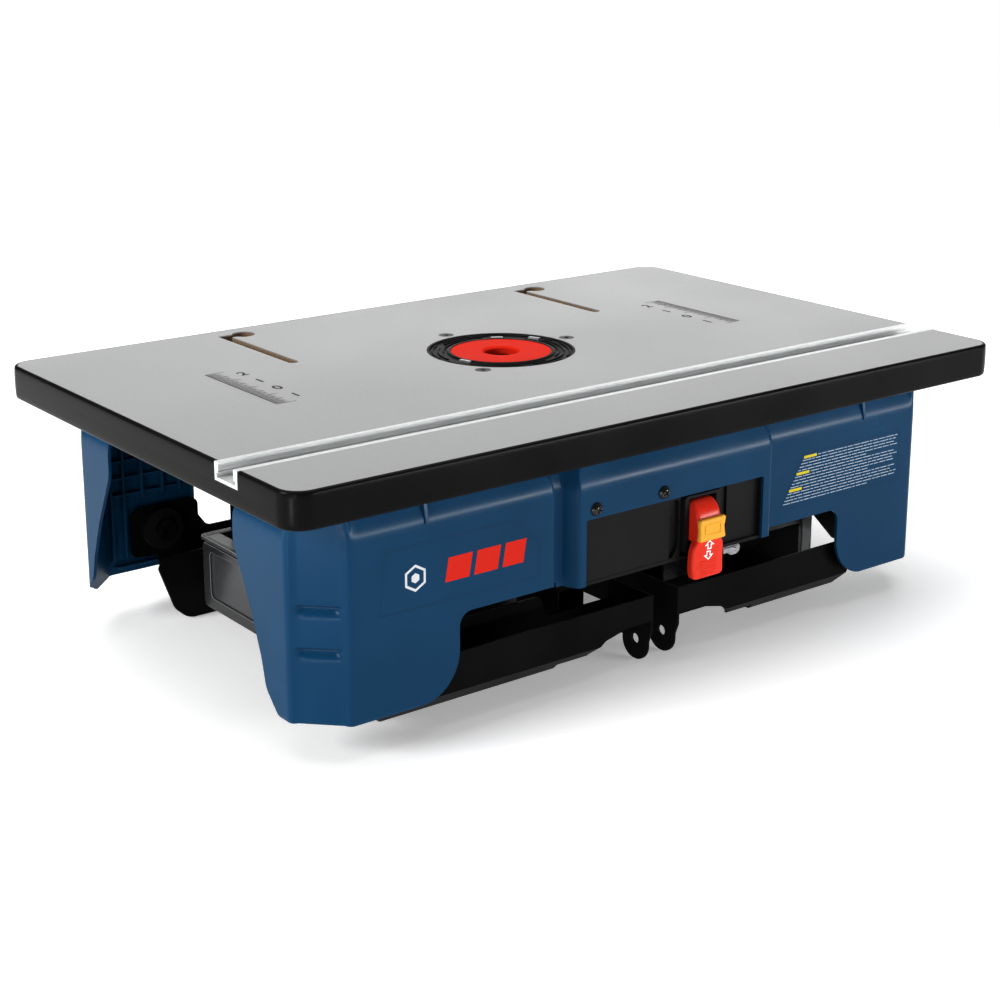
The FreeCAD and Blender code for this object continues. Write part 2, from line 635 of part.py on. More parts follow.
for label, x in OUTLETS.items():
    face = box(label + "_face", (36.0, 2.0, 36.0), (x - 18, BOX_BACK, below(114)))
    cup = box(label + "_cup", (30.0, 22.0, 30.0), (x - 15, BOX_BACK - 22, below(111)))
    slots = [
        box(label + "_slot_left", (2.2, 20.0, 9.0), (x - 7.5, BOX_BACK - 17, below(99))),
        box(label + "_slot_right", (2.2, 20.0, 7.5), (x + 5.3, BOX_BACK - 17, below(98.5))),
        cylinder(label + "_ground", 2.6, 20.0, (x, BOX_BACK - 17, below(105)), "y"),
    ]
    node(label, cut(label, fuse(label + "_blank", [face, cup]), slots))

gland_x = BOX_LEFT + BOX_WIDTH
gland_solids = [
    cylinder("gland_body", 8.0, 22.0, (gland_x - 8, GLAND_Y, GLAND_Z), "x"),
    cylinder("gland_collar", 11.0, 4.0, (gland_x, GLAND_Y, GLAND_Z), "x"),
    cone("gland_nose", 8.0, 5.5, 9.0, (gland_x + 14, GLAND_Y, GLAND_Z), "x"),
]
gland_bore = cylinder("gland_bore", 4.0, 50.0, (gland_x - 12, GLAND_Y, GLAND_Z), "x")
node("cord_gland", cut("cord_gland", fuse("gland_blank", gland_solids), [gland_bore]))

COVER_LEFT = -78.4
COVER_LENGTH = 92.0
cover_plate = box(
    "cover_blank", (COVER_LENGTH, "cover_thick", 47.8), (COVER_LEFT, BOX_FRONT + 0.3, BOX_FLOOR + BOX_WALL + 0.1))
cover_pocket = prism(
    "cover_pocket", "xz",
    [(3, below(120)), (3, below(76)), (12, below(76), 3), (12, below(112), 18), (6, below(120))],
    4.0, BOX_FRONT - 0.7)
pocket_back = box("pocket_back", (12.0, 2.0, 45.0), (2, BOX_FRONT + 3.3, below(120.3)))
cover_cut = cut("cover_cut", cover_plate, [cover_pocket])
node("switch_cover_plate", fuse("switch_cover_plate", [cover_cut, pocket_back]))

BEZEL_THICK = 9.0
PIN_Y = -183.0
PIN_Z = below(82)
BEZEL_LOW = 118.0
bezel_blank = prism(
    "bezel_blank", "xz", rectangle(PADDLE_X - 17.5, below(BEZEL_LOW), PADDLE_X + 17.5, below(74.5), 3),
    BEZEL_THICK, BEZEL_FRONT)
bezel_window = box("bezel_window", (27.0, 20.0, 39.0), (PADDLE_X - 13.5, BEZEL_FRONT - 1, below(115.5)))
bezel_pin = cylinder("bezel_pin", "paddle_pin + 0.05", 31.0, (PADDLE_X - 15.5, PIN_Y, PIN_Z), "x")
node("switch_bezel", cut("switch_bezel", bezel_blank, [bezel_window, bezel_pin]))

body_front = BEZEL_FRONT + BEZEL_THICK
body_block = box("body_block", (33.0, 26.0, 40.0), (PADDLE_X - 16.5, body_front, below(116)))
tabs = []
for index, x in enumerate((-10, -3.5, 3, 9.5), start=1):
    tabs.append(box(f"body_tab_{index}", (0.8, 8.0, 6.3), (PADDLE_X + x, body_front + 26, below(100))))
node("switch_body", fuse("switch_body", [body_block] + tabs))

paddle_profile = [
    (-180.8, below(79)), (-186, below(79), 2.5), (-196.5, below(87), 6), (-197, below(111.5)),
    (-195.5, below(114)), (-180.8, below(114)),
]
paddle_upper = prism("paddle_upper", "yz", paddle_profile, "paddle_width + 1", PADDLE_X - 13)
tongue_profile = rectangle(PADDLE_X - 17.5, below(137), PADDLE_X + 17.5, below(112.5), 5)
paddle_tongue = prism("paddle_tongue", "xz", tongue_profile, 5.0, -195.5)
paddle_pins = cylinder("paddle_pins", "paddle_pin", 30.4, (PADDLE_X - 15.2, PIN_Y, PIN_Z), "x")
ridges = []
for index in range(6):
    ridges.append(box(
        f"tongue_ridge_{index + 1}", (24.0, 0.7, 0.8), (PADDLE_X - 12, -196.1, below(119 + index * 2.6))))
KEY_GAP = 0.3
key_slot = box(
    "key_slot", (10 + 2 * KEY_GAP, 20.0, 9 + 2 * KEY_GAP), (PADDLE_X - 5 - KEY_GAP, -199, below(103 + KEY_GAP)))
paddle_blank = fuse("paddle_blank", [paddle_upper, paddle_tongue, paddle_pins] + ridges)
node("switch_paddle", cut("switch_paddle", paddle_blank, [key_slot]))
key_face = prism(
    "key_face", "xz", rectangle(PADDLE_X - 14.5, below(107), PADDLE_X + 14.5, below(90), 2.5), 2.9, -200.2)
key_stem = box("key_stem", (10.0, 16.0, 9.0), (PADDLE_X - 5, -198, below(103)))
node("safety_key", fuse("safety_key", [key_face, key_stem]))

tab_under = box("bracket_tab", (17.0, 24.0, 1.5), (58, BOX_FRONT, BOX_FLOOR - 1.5))
tab_front = box("bracket_front", (17.0, 1.5, 8.0), (58, BOX_FRONT, BOX_FLOOR - 8))
bracket_hole = cylinder("bracket_hole", 2.0, 6.0, (66.5, BOX_FRONT - 2, BOX_FLOOR - 4.6), "y")
node("switch_bracket", cut("switch_bracket", fuse("bracket_blank", [tab_under, tab_front]), [bracket_hole]))


# ---------------------------------------------------------------- folding legs

LEG_LENGTH = dim("leg_length")
SHEET = dim("leg_sheet")
LEG_FACE = dim("leg_face")
LEG_INNER = dim("leg_inner")
LEG_TOP = below(dim("leg_top"))
LEG_BOTTOM = below(dim("leg_bottom"))
STEP_REACH = LEG_LENGTH - 68
NOTCH_REACH = 140
BEND = 11.0
WEB_EDGE = 158.0
STEP_TOP = below(168)
FOOT_CUT = [
    (166, LEG_BOTTOM - 2), (168, below(185), 3), (180, below(176), 8), (200, below(171.5), 30), (LEG_LENGTH - SHEET, below(171)),
    (LEG_LENGTH - SHEET, LEG_BOTTOM - 2),
]


def leg_x(points, hand):
    """Leg outline turned from reach along the leg into X; hand is -1 for the left leg."""
    return [(PIVOTS[hand] - hand * point[0],) + tuple(point[1:]) for point in points]


def outer_plate_outline(hand, front):
    """Side plate with its hub head, drawn as reach from the pivot against height."""
    foot = [(LEG_LENGTH, LEG_BOTTOM), (LEG_LENGTH, LEG_TOP), (42, LEG_TOP, 9), (34, below(140), 4), (34, below(125), 6)]
    if hand > 0:
        head = [(-22.5, below(125), 19), (-22.5, below(165), 19), (35.5, below(166.5)), (46, LEG_BOTTOM)]
    elif front:
        head = [(-26, below(125), 8), (-26, below(165), 4), (-14, below(167)), (-14, LEG_BOTTOM, 5)]
    else:
        head = [
            (-26, below(125), 8), (-26, below(165), 4), (-3.5, below(167)), (-2.6, below(176)),
            (2, below(184), 3), (22, LEG_BOTTOM),
        ]
    return foot + head


def inner_plate_outline(hand):
    """Inner plate; on the left leg it also carries the heel that the folded table stands on."""
    points = [
        (LEG_LENGTH, LEG_BOTTOM), (LEG_LENGTH, STEP_TOP), (STEP_REACH + 6, STEP_TOP, 5), (STEP_REACH, LEG_TOP, 5),
    ]
    if hand > 0:
        return points + [(46, LEG_TOP), (46, LEG_BOTTOM)]
    return points + [
        (0, LEG_TOP, 20), (-24, below(153), 5), (-28, below(160), 4), (-15, below(196), 14),
        (-4, below(dim("fold_height")), 16), (30, below(dim("fold_height")), 10), (41, LEG_BOTTOM, 4),
    ]


def leg_channel(name, hand, side):
    """One folded-steel leg channel; hand is the end of the table, side is -1 in front."""
    inner_start = side * LEG_INNER - (SHEET if side < 0 else 0)
    web_reach = 46 if hand > 0 else 22
    if hand < 0 and side < 0:
        web_reach = -6
    web_ends = sorted([PIVOTS[hand] - hand * web_reach, PIVOTS[hand] - hand * LEG_LENGTH])
    wall_section = [
        (LEG_FACE, below(120)), (LEG_FACE, LEG_BOTTOM + BEND), (LEG_FACE - BEND, LEG_BOTTOM),
        (WEB_EDGE, LEG_BOTTOM), (WEB_EDGE, LEG_BOTTOM + SHEET), (LEG_FACE - BEND - 0.8, LEG_BOTTOM + SHEET),
        (LEG_FACE - SHEET, LEG_BOTTOM + BEND + 0.8), (LEG_FACE - SHEET, below(120)),
    ]
    wall_low = min(PIVOTS[hand] - hand * LEG_LENGTH, PIVOTS[hand] + hand * 40)
    wall = prism(name + "_wall", "yz", mirrored(wall_section, side), LEG_LENGTH + 40, wall_low)
    outline_start = -LEG_FACE - 1 if side < 0 else WEB_EDGE - 1
    outline = prism(
        name + "_outline", "xz", leg_x(outer_plate_outline(hand, side < 0), hand),
        LEG_FACE - WEB_EDGE + 2, outline_start)
    outer = doc.addObject("Part::MultiCommon", name + "_outer")
    outer.Shapes = [wall, outline]
    web_low = LEG_INNER if side > 0 else -WEB_EDGE
    solids = [
        outer,
        prism(name + "_inner", "xz", leg_x(inner_plate_outline(hand), hand), "leg_sheet", inner_start),
        box(
            name + "_web", (web_ends[1] - web_ends[0], WEB_EDGE - LEG_INNER, "leg_sheet"),
            (web_ends[0], web_low, LEG_BOTTOM)),
    ]
    foot_x = PIVOTS[hand] - hand * LEG_LENGTH
    sole_start = foot_x - SHEET if hand < 0 else foot_x
    ear_y = dim("ear_y")
    sole = [
        (LEG_FACE, LEG_TOP), (LEG_FACE, below(180), 6), (ear_y + 14, below(189), 4),
        (ear_y + 14, below(206), 13.5), (ear_y - 14, below(206), 13.5), (ear_y - 14, LEG_BOTTOM),
        (LEG_INNER, LEG_BOTTOM), (LEG_INNER, STEP_TOP), (LEG_INNER + SHEET, STEP_TOP),
        (LEG_INNER + SHEET, LEG_TOP),
    ]
    solids.append(prism(
        name + "_sole", "yz", mirrored(sole, side), "leg_sheet", sole_start,
        [(side * ear_y, below(dim("ear_drop")), dim("ear_hole"))]))
    notch_low = min(side * (LEG_FACE - SHEET), side * 138)
    notch_x = min(leg_x([(NOTCH_REACH, 0), (LEG_LENGTH - SHEET, 0)], hand))[0]
    hub_start = side * LEG_FACE - (1 if side < 0 else 3)
    tools = [
        prism(name + "_foot_cut", "xz", leg_x(FOOT_CUT, hand), 18.0, side * (LEG_FACE - 7) - 9),
        box(
            name + "_web_notch", (LEG_LENGTH - SHEET - NOTCH_REACH, LEG_FACE - SHEET - 138, 6.0),
            (notch_x, notch_low, LEG_BOTTOM - 2)),
        cylinder(name + "_hub_hole", "pivot_hole", 4.0, (PIVOTS[hand], hub_start, PIVOT_Z), "y"),
        cylinder(
            name + "_ear_opening", "ear_hole", 6.0,
            (foot_x - 3, side * ear_y, below(dim("ear_drop"))), "x"),
    ]
    return node(name, cut(name, fuse(name + "_blank", solids), tools))


for hand, end in ((-1, "left"), (1, "right")):
    leg_channel(f"{end}_front_leg_channel", hand, -1)
    leg_channel(f"{end}_rear_leg_channel", hand, 1)
    bar_reach = (176, 201) if hand < 0 else (193.5, 219.5)
    bar_low = min(leg_x([(bar_reach[0], 0), (bar_reach[1], 0)], hand))[0]
    bar_size = bar_reach[1] - bar_reach[0]
    bar_outer = box(f"{end}_bar_outer", (bar_size, "2 * leg_inner", 39.0), (bar_low, -LEG_INNER, LEG_BOTTOM))
    bar_space = box(
        f"{end}_bar_space", (bar_size - 3, "2 * leg_inner + 2", 36.0),
        (bar_low + 1.5, -LEG_INNER - 1, LEG_BOTTOM + 1.5))
    node(f"{end}_leg_crossbar", cut(f"{end}_leg_crossbar", bar_outer, [bar_space]))

HUB_GAP = 0.3
WASHER_THICK = 6.0
bolts = []
washers = []
for hand, pivot_x in PIVOTS.items():
    for side in (-1, 1):
        tag = f"{hand + 2}_{side + 2}"
        plate_inside = LEG_FACE - SHEET
        thread_end = LEG_FACE + 4.3
        washer_out = plate_inside - HUB_GAP
        washer_in = washer_out - WASHER_THICK
        spans = (
            ("shoulder", dim("pivot_shoulder"), washer_in, LEG_FACE + 0.3),
            ("thread", 3.0, LEG_FACE + 0.2, thread_end),
            ("head", 8.0, washer_in - 4.5, washer_in),
        )
        solids = []
        for label, radius, near, far in spans:
            low = min(side * near, side * far)
            solids.append(cylinder(f"bolt_{label}_{tag}", radius, far - near, (pivot_x, low, PIVOT_Z), "y"))
        socket_low = min(side * (washer_in - 5), side * (washer_in - 1.5))
        socket = cylinder(f"bolt_socket_{tag}", 2.8, 3.5, (pivot_x, socket_low, PIVOT_Z), "y")
        bolts.append(cut(f"pivot_bolt_{tag}", fuse(f"pivot_bolt_blank_{tag}", solids), [socket]))
        washer_low = min(side * washer_in, side * washer_out)
        disc = cylinder(f"washer_disc_{tag}", "hub_radius", WASHER_THICK, (pivot_x, washer_low, PIVOT_Z), "y")
        bore = cylinder(
            f"washer_bore_{tag}", "pivot_shoulder", WASHER_THICK + 2, (pivot_x, washer_low - 1, PIVOT_Z), "y")
        washers.append(cut(f"pivot_washer_{tag}", disc, [bore]))
node("leg_pivot_bolts", group("leg_pivot_bolts", bolts))
node("leg_pivot_washers", group("leg_pivot_washers", washers))


# ---------------------------------------------------------------- accessory trays and their rails

TRAY_START = dim("tray_start")
TRAY_END = dim("tray_end")
TRAY_RIM = dim("tray_half_width")
TRAY_BODY = TRAY_RIM - 5
TRAY_FLOOR = below(dim("tray_top") + dim("tray_height"))
RIM_TOP = below(dim("tray_top"))
RIM_THICK = 2.5
RAIL = dim("rail_sheet")
RAIL_REACH = (103, 195)
RAIL_IN = TRAY_RIM + 1.5
RAIL_SCREWS = (110, 126, 187)
KNOB_ROOM = (134, 171)
KNOB_DROP = 80
rail_screws = []

for hand, end in ((-1, "left"), (1, "right")):
    low = min(hand * TRAY_START, hand * TRAY_END)
    high = max(hand * TRAY_START, hand * TRAY_END)
    tray_blank = prism(
        f"{end}_tray_blank", "xy", rectangle(low + 2, -TRAY_BODY, high - 2, TRAY_BODY, 12),
        "tray_height", TRAY_FLOOR)
    tray_rim = prism(
        f"{end}_tray_rim", "xy", rectangle(low, -TRAY_RIM, high, TRAY_RIM, 8), RIM_THICK, RIM_TOP - RIM_THICK)
    wall = dim("tray_wall")
    tray_space = prism(
        f"{end}_tray_space", "xy",
        rectangle(low + 2 + wall, -TRAY_BODY + wall, high - 2 - wall, TRAY_BODY - wall, 12 - wall),
        "tray_height + 2", TRAY_FLOOR + wall)
    divider_x = hand * 143 - 1
    tray_divider = box(
        f"{end}_tray_divider", (2.0, 2 * TRAY_BODY - 2, 34.0), (divider_x, -TRAY_BODY + 1, TRAY_FLOOR + 1))
    hollow = cut(f"{end}_tray_hollow", fuse(f"{end}_tray_outer", [tray_blank, tray_rim]), [tray_space])
    pull_x = hand * TRAY_END - (4 if hand > 0 else 0)
    tray_pull = box(f"{end}_tray_pull", (4.0, 60.0, 14.0), (pull_x, -30, RIM_TOP - RIM_THICK - 11.5))
    node(f"{end}_storage_tray", fuse(f"{end}_storage_tray", [hollow, tray_divider, tray_pull]))

    rail_low = min(hand * RAIL_REACH[0], hand * RAIL_REACH[1])
    rail_length = RAIL_REACH[1] - RAIL_REACH[0]
    rails = []
    for side in (-1, 1):
        tag = f"{end}_{side + 2}"
        lip_top = RIM_TOP - RIM_THICK - 0.3
        profile = [
            (RAIL_IN + 11, UNDERSIDE), (RAIL_IN, UNDERSIDE), (RAIL_IN, RIM_TOP + 0.3 + RAIL),
            (TRAY_BODY + 1, RIM_TOP + 0.3 + RAIL), (TRAY_BODY + 1, RIM_TOP + 0.3), (RAIL_IN, RIM_TOP + 0.3),
            (RAIL_IN, lip_top), (TRAY_BODY + 1, lip_top), (TRAY_BODY + 1, lip_top - RAIL),
            (RAIL_IN + RAIL, lip_top - RAIL), (RAIL_IN + RAIL, UNDERSIDE - RAIL), (RAIL_IN + 11, UNDERSIDE - RAIL),
        ]
        blank = prism(f"rail_{tag}", "yz", mirrored(profile, side), rail_length, rail_low)
        holes = []
        for index, reach in enumerate(RAIL_SCREWS, start=1):
            x = hand * reach
            y = side * (RAIL_IN + 6.5)
            holes.append(cylinder(f"rail_hole_{tag}_{index}", 1.75, 6.0, (x, y, UNDERSIDE - 4)))
            head = cylinder(f"rail_head_{tag}_{index}", 3.4, 2.2, (x, y, UNDERSIDE - RAIL - 2.2))
            shank = cylinder(f"rail_shank_{tag}_{index}", 1.75, 12.0, (x, y, UNDERSIDE - RAIL))
            rail_screws.append(fuse(f"rail_screw_{tag}_{index}", [head, shank]))
            pilot_places.append((x, y, dim("top_thick"), 1.75, 12 - RAIL))
        room_low = min(hand * KNOB_ROOM[0], hand * KNOB_ROOM[1])
        room_size = (KNOB_ROOM[1] - KNOB_ROOM[0], 16.0, KNOB_DROP - dim("top_thick") + 1)
        room_y = min(side * (RAIL_IN - 2), side * (RAIL_IN + 14))
        holes.append(box(f"knob_room_{tag}", room_size, (room_low, room_y, below(KNOB_DROP))))
        rails.append(cut(f"rail_cut_{tag}", blank, holes))
    node(f"{end}_tray_rails", group(f"{end}_tray_rails", rails))
node("tray_rail_screws", group("tray_rail_screws", rail_screws))


# ---------------------------------------------------------------- layers of the top

pilots = []
backer_pilots = []
for index, (x, y, drop, radius, depth) in enumerate(pilot_places, start=1):
    pilots.append(cylinder(f"core_pilot_{index}", radius, depth, (x, y, below(drop))))
    if drop == dim("top_thick"):
        backer_pilots.append(cylinder(f"backer_pilot_{index}", radius, 4.0, (x, y, below(drop + 2))))
backer_drop = dim("top_thick")
core_drop = dim("top_thick") - dim("backer_thick")
top_sheet("bottom_laminate", "backer_thick", backer_drop, backer_pilots, 0)
top_sheet(
    "table_core", "top_thick - face_thick - backer_thick", core_drop, head_sinks("core") + pilots,
    dim("mitre_height"))
top_sheet("top_laminate", "face_thick", dim("face_thick"), head_sinks("laminate"), dim("mitre_height"))


# ---------------------------------------------------------------- checks and files

doc.recompute()
faults = []
for item in doc.Objects:
    if "Invalid" in item.State or "Error" in item.State:
        faults.append(f"{item.Label}: {item.State}")
    shape = getattr(item, "Shape", None)
    if shape is not None and not item.isDerivedFrom("App::OriginFeature") and not item.isDerivedFrom("App::Origin"):
        if not item.isDerivedFrom("App::DatumElement") and (shape.isNull() or not shape.isValid()):
            faults.append(f"{item.Label}: bad shape")
for name, item in nodes.items():
    if not item.Shape.Solids:
        faults.append(f"{name}: no solid")
if faults:
    raise RuntimeError("; ".join(faults))
for name, item in nodes.items():
    item.Shape.exportStep(f"parts/{name}.step")
    box_size = item.Shape.BoundBox
    print(f"{name}: {len(item.Shape.Solids)} solids, volume {item.Shape.Volume / 1000:.1f} cm3, "
          f"X {box_size.XMin:.1f}..{box_size.XMax:.1f} Y {box_size.YMin:.1f}..{box_size.YMax:.1f} "
          f"Z {box_size.ZMin:.1f}..{box_size.ZMax:.1f}")
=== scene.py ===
import json
import math

import bmesh
import bpy
from mathutils import Matrix, Vector

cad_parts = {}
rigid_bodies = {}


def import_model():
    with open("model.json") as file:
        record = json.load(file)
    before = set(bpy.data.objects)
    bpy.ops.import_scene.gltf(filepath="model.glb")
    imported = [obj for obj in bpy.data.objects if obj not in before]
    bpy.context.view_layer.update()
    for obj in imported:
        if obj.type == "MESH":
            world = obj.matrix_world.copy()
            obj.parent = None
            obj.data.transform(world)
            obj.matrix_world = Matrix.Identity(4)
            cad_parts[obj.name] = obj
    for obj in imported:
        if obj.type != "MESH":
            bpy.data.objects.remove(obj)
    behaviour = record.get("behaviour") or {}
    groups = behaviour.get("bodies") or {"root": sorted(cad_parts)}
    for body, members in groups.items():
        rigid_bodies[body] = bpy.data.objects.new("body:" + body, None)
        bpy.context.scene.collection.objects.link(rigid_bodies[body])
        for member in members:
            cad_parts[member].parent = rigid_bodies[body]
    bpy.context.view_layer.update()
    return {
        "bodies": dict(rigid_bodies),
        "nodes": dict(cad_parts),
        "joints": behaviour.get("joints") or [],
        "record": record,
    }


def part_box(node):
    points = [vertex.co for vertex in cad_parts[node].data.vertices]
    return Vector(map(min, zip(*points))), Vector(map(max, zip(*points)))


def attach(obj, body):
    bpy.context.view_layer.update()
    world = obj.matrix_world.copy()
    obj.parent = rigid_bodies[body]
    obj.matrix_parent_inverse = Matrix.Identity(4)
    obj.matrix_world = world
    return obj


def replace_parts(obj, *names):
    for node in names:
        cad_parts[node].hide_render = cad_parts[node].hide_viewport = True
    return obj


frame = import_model()

# ---------------------------------------------------------------- camera, light and floor

MM = 0.001
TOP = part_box("top_laminate")[1].z


def new_object(name, mesh):
    """Object in the scene for a mesh."""
    item = bpy.data.objects.new(name, mesh)
    bpy.context.scene.collection.objects.link(item)
    return item


def add_camera():
    """Camera at the photograph's viewing angle."""
    data = bpy.data.cameras.new("camera")
    data.sensor_width = 36.0
    data.lens = 67.512
    data.shift_y = -0.1
    camera = bpy.data.objects.new("camera", data)
    camera.location = (-0.87865, -1.13622, 0.55147)
    camera.rotation_euler = (math.radians(90 - 14.9686), 0, math.radians(-37.3437))
    bpy.context.scene.collection.objects.link(camera)
    bpy.context.scene.camera = camera


def add_area(name, place, target, size, power):
    """Soft rectangular light that points at a target."""
    data = bpy.data.lights.new(name, "AREA")
    data.shape = "RECTANGLE"
    data.size, data.size_y = size
    data.energy = power
    light = bpy.data.objects.new(name, data)
    light.location = place
    light.rotation_euler = (Vector(target) - Vector(place)).to_track_quat("-Z", "Y").to_euler()
    bpy.context.scene.collection.objects.link(light)


def add_stage():
    """Pale floor, white surroundings for the eye and dimmer ones for the object, and six area lights."""
    scene = bpy.context.scene
    scene.view_settings.view_transform = "Standard"
    scene.view_settings.gamma = 0.85
    world = bpy.data.worlds.new("studio")
    world.use_nodes = True
    tree = world.node_tree
    background = tree.nodes["Background"]
    ray = tree.nodes.new("ShaderNodeLightPath")
    strength = tree.nodes.new("ShaderNodeMapRange")
    strength.inputs["To Min"].default_value = 0.15
    strength.inputs["To Max"].default_value = 1.0
    tree.links.new(ray.outputs["Is Camera Ray"], strength.inputs["Value"])
    tree.links.new(strength.outputs["Result"], background.inputs["Strength"])
    background.inputs["Color"].default_value = (1.0, 1.0, 1.0, 1)
    scene.world = world
    mesh = bpy.data.meshes.new("floor")
    reach, sides = 3.4, 72
    turns = [math.tau * side / sides for side in range(sides)]
    rim = [(reach * math.cos(t), reach * math.sin(t), 0) for t in turns]
    mesh.from_pydata(rim, [], [tuple(range(sides))])
    floor = new_object("floor", mesh)
    floor.location.z = -0.0005
    material = bpy.data.materials.new("floor_white")
    material.use_nodes = True
    shader = material.node_tree.nodes["Principled BSDF"]
    shader.inputs["Base Color"].default_value = (0.93, 0.93, 0.93, 1)
    shader.inputs["Roughness"].default_value = 0.95
    shader.inputs["Specular IOR Level"].default_value = 0.1
    shader.inputs["Emission Color"].default_value = (1, 1, 1, 1)
    shader.inputs["Emission Strength"].default_value = 0.3
    mesh.materials.append(material)
    add_area("top_soft", (0.3, 0.5, 3.0), (0, 0, 0.1), (3.4, 3.4), 92)
    add_area("left_soft", (-2.8, 0.3, 1.35), (0, 0, 0.1), (1.2, 1.0), 74)
    add_area("corner_card", (-1.5, -1.15, 0.3), (-0.3, -0.2, 0.12), (0.2, 0.6), 3.5)
    add_area("band_card", (-0.82, -0.43, 0.045), (-0.326, -0.204, 0.19), (0.10, 0.08), 0.6)
    add_area("shoulder_card", (1.5, -2.3, 0.42), (0, -0.18, 0.16), (1.7, 0.12), 46)
    add_area("rear_card", (2.4, 3.0, 0.75), (0, 0.05, 0.2), (3.4, 1.1), 24)


add_camera()
add_stage()

# ---------------------------------------------------------------- materials


class Material:
    """Procedural material: a Principled shader with helpers for the nodes in front of it."""

    def __init__(self, name, roughness=0.5, metallic=0.0, specular=0.5):
        self.material = bpy.data.materials.new(name)
        self.material.use_nodes = True
        self.tree = self.material.node_tree
        self.shader = self.tree.nodes["Principled BSDF"]
        self.shader.inputs["Roughness"].default_value = roughness
        self.shader.inputs["Metallic"].default_value = metallic
        self.shader.inputs["Specular IOR Level"].default_value = specular
        self.place = self.tree.nodes.new("ShaderNodeTexCoord").outputs["Object"]
        self.bump_normal = None

    def noise(self, scale, detail=3.0, rough=0.5, stretch=None):
        """Noise value over the object's own coordinates, optionally stretched."""
        place = self.place
        if stretch:
            mapping = self.tree.nodes.new("ShaderNodeMapping")
            mapping.inputs["Scale"].default_value = stretch
            self.tree.links.new(place, mapping.inputs["Vector"])
            place = mapping.outputs["Vector"]
        node = self.tree.nodes.new("ShaderNodeTexNoise")
        node.inputs["Scale"].default_value = scale
        node.inputs["Detail"].default_value = detail
        node.inputs["Roughness"].default_value = rough
        self.tree.links.new(place, node.inputs["Vector"])
        return node.outputs["Fac"]

    def ramp(self, value, stops):
        """Colour ramp over a value; stops are (position, colour)."""
        node = self.tree.nodes.new("ShaderNodeValToRGB")
        elements = node.color_ramp.elements
        while len(elements) < len(stops):
            elements.new(0.5)
        for element, (position, colour) in zip(elements, stops):
            element.position = position
            element.color = (*colour, 1)
        self.tree.links.new(value, node.inputs["Fac"])
        return node.outputs["Color"]

    def mix(self, factor, first, second, blend="MIX"):
        """Mix two colours, each a socket or a colour."""
        node = self.tree.nodes.new("ShaderNodeMix")
        node.data_type = "RGBA"
        node.blend_type = blend
        sockets = {socket.identifier: socket for socket in node.inputs}
        for key, value in (("Factor_Float", factor), ("A_Color", first), ("B_Color", second)):
            if isinstance(value, (int, float)):
                sockets[key].default_value = value
            elif isinstance(value, tuple):
                sockets[key].default_value = (*value, 1)
            else:
                self.tree.links.new(value, sockets[key])
        outputs = {socket.identifier: socket for socket in node.outputs}
        return outputs["Result_Color"]

    def colour(self, value):
        """Connect the base colour."""
        self.tree.links.new(value, self.shader.inputs["Base Color"])

    def rough(self, value, low, high):
        """Roughness between two numbers along a value."""
        node = self.tree.nodes.new("ShaderNodeMapRange")
        node.inputs["To Min"].default_value = low
        node.inputs["To Max"].default_value = high
        node.inputs["From Min"].default_value = 0.3
        node.inputs["From Max"].default_value = 0.7
        self.tree.links.new(value, node.inputs["Value"])
        self.tree.links.new(node.outputs["Result"], self.shader.inputs["Roughness"])

    def bump(self, value, distance, strength=1.0):
        """Bump on top of any earlier bump; distance in metres."""
        node = self.tree.nodes.new("ShaderNodeBump")
        node.inputs["Distance"].default_value = distance
        node.inputs["Strength"].default_value = strength
        self.tree.links.new(value, node.inputs["Height"])
        if self.bump_normal is not None:
            self.tree.links.new(self.bump_normal, node.inputs["Normal"])
        self.bump_normal = node.outputs["Normal"]
        self.tree.links.new(self.bump_normal, self.shader.inputs["Normal"])


def make_laminate():
    """Grey laminate with a very fine speckle."""
    m = Material("laminate", roughness=0.34, specular=0.4)
    speckle = m.noise(900, 2)
    cloud = m.noise(6, 3)
    base = m.ramp(speckle, [
        (0.3, (0.285, 0.287, 0.288)), (0.5, (0.305, 0.307, 0.308)), (0.7, (0.325, 0.327, 0.328))])
    shade = m.ramp(cloud, [(0.3, (0.27, 0.273, 0.277)), (0.7, (0.335, 0.338, 0.341))])
    m.colour(m.mix(0.12, base, shade))
    m.rough(cloud, 0.31, 0.37)
    m.bump(speckle, 0.00004, 0.5)
    return m.material


def make_fibreboard():
    """Brown fibreboard with fine fibres."""
    m = Material("fibreboard", roughness=0.85, specular=0.2)
    fibres = m.noise(420, 4, 0.7, (1, 1, 2.4))
    m.colour(m.ramp(fibres, [
        (0.3, (0.16, 0.11, 0.07)), (0.55, (0.27, 0.19, 0.125)), (0.75, (0.36, 0.27, 0.18))]))
    m.bump(fibres, 0.0003, 0.6)
    return m.material


def make_plastic(name, dark, light, roughness, grain=1600, depth=0.00003, cloud_scale=14, specular=0.3):
    """Moulded plastic with a fine spark texture and slight colour variation."""
    m = Material(name, roughness=roughness, specular=specular)
    cloud = m.noise(cloud_scale, 3)
    m.colour(m.ramp(cloud, [(0.3, dark), (0.7, light)]))
    m.rough(cloud, roughness * 0.9, roughness * 1.12)
    m.bump(m.noise(grain, 2), depth, 0.6)
    return m.material


def make_metal(name, dark, light, roughness, stretch=(1, 30, 30), grain=60, depth=0.00002, metallic=1.0):
    """Bare metal with drawn lines along one axis."""
    m = Material(name, roughness=roughness, metallic=metallic)
    lines = m.noise(grain, 4, 0.6, stretch)
    m.colour(m.ramp(lines, [(0.3, dark), (0.7, light)]))
    m.rough(lines, roughness * 0.8, roughness * 1.25)
    m.bump(lines, depth, 0.5)
    return m.material


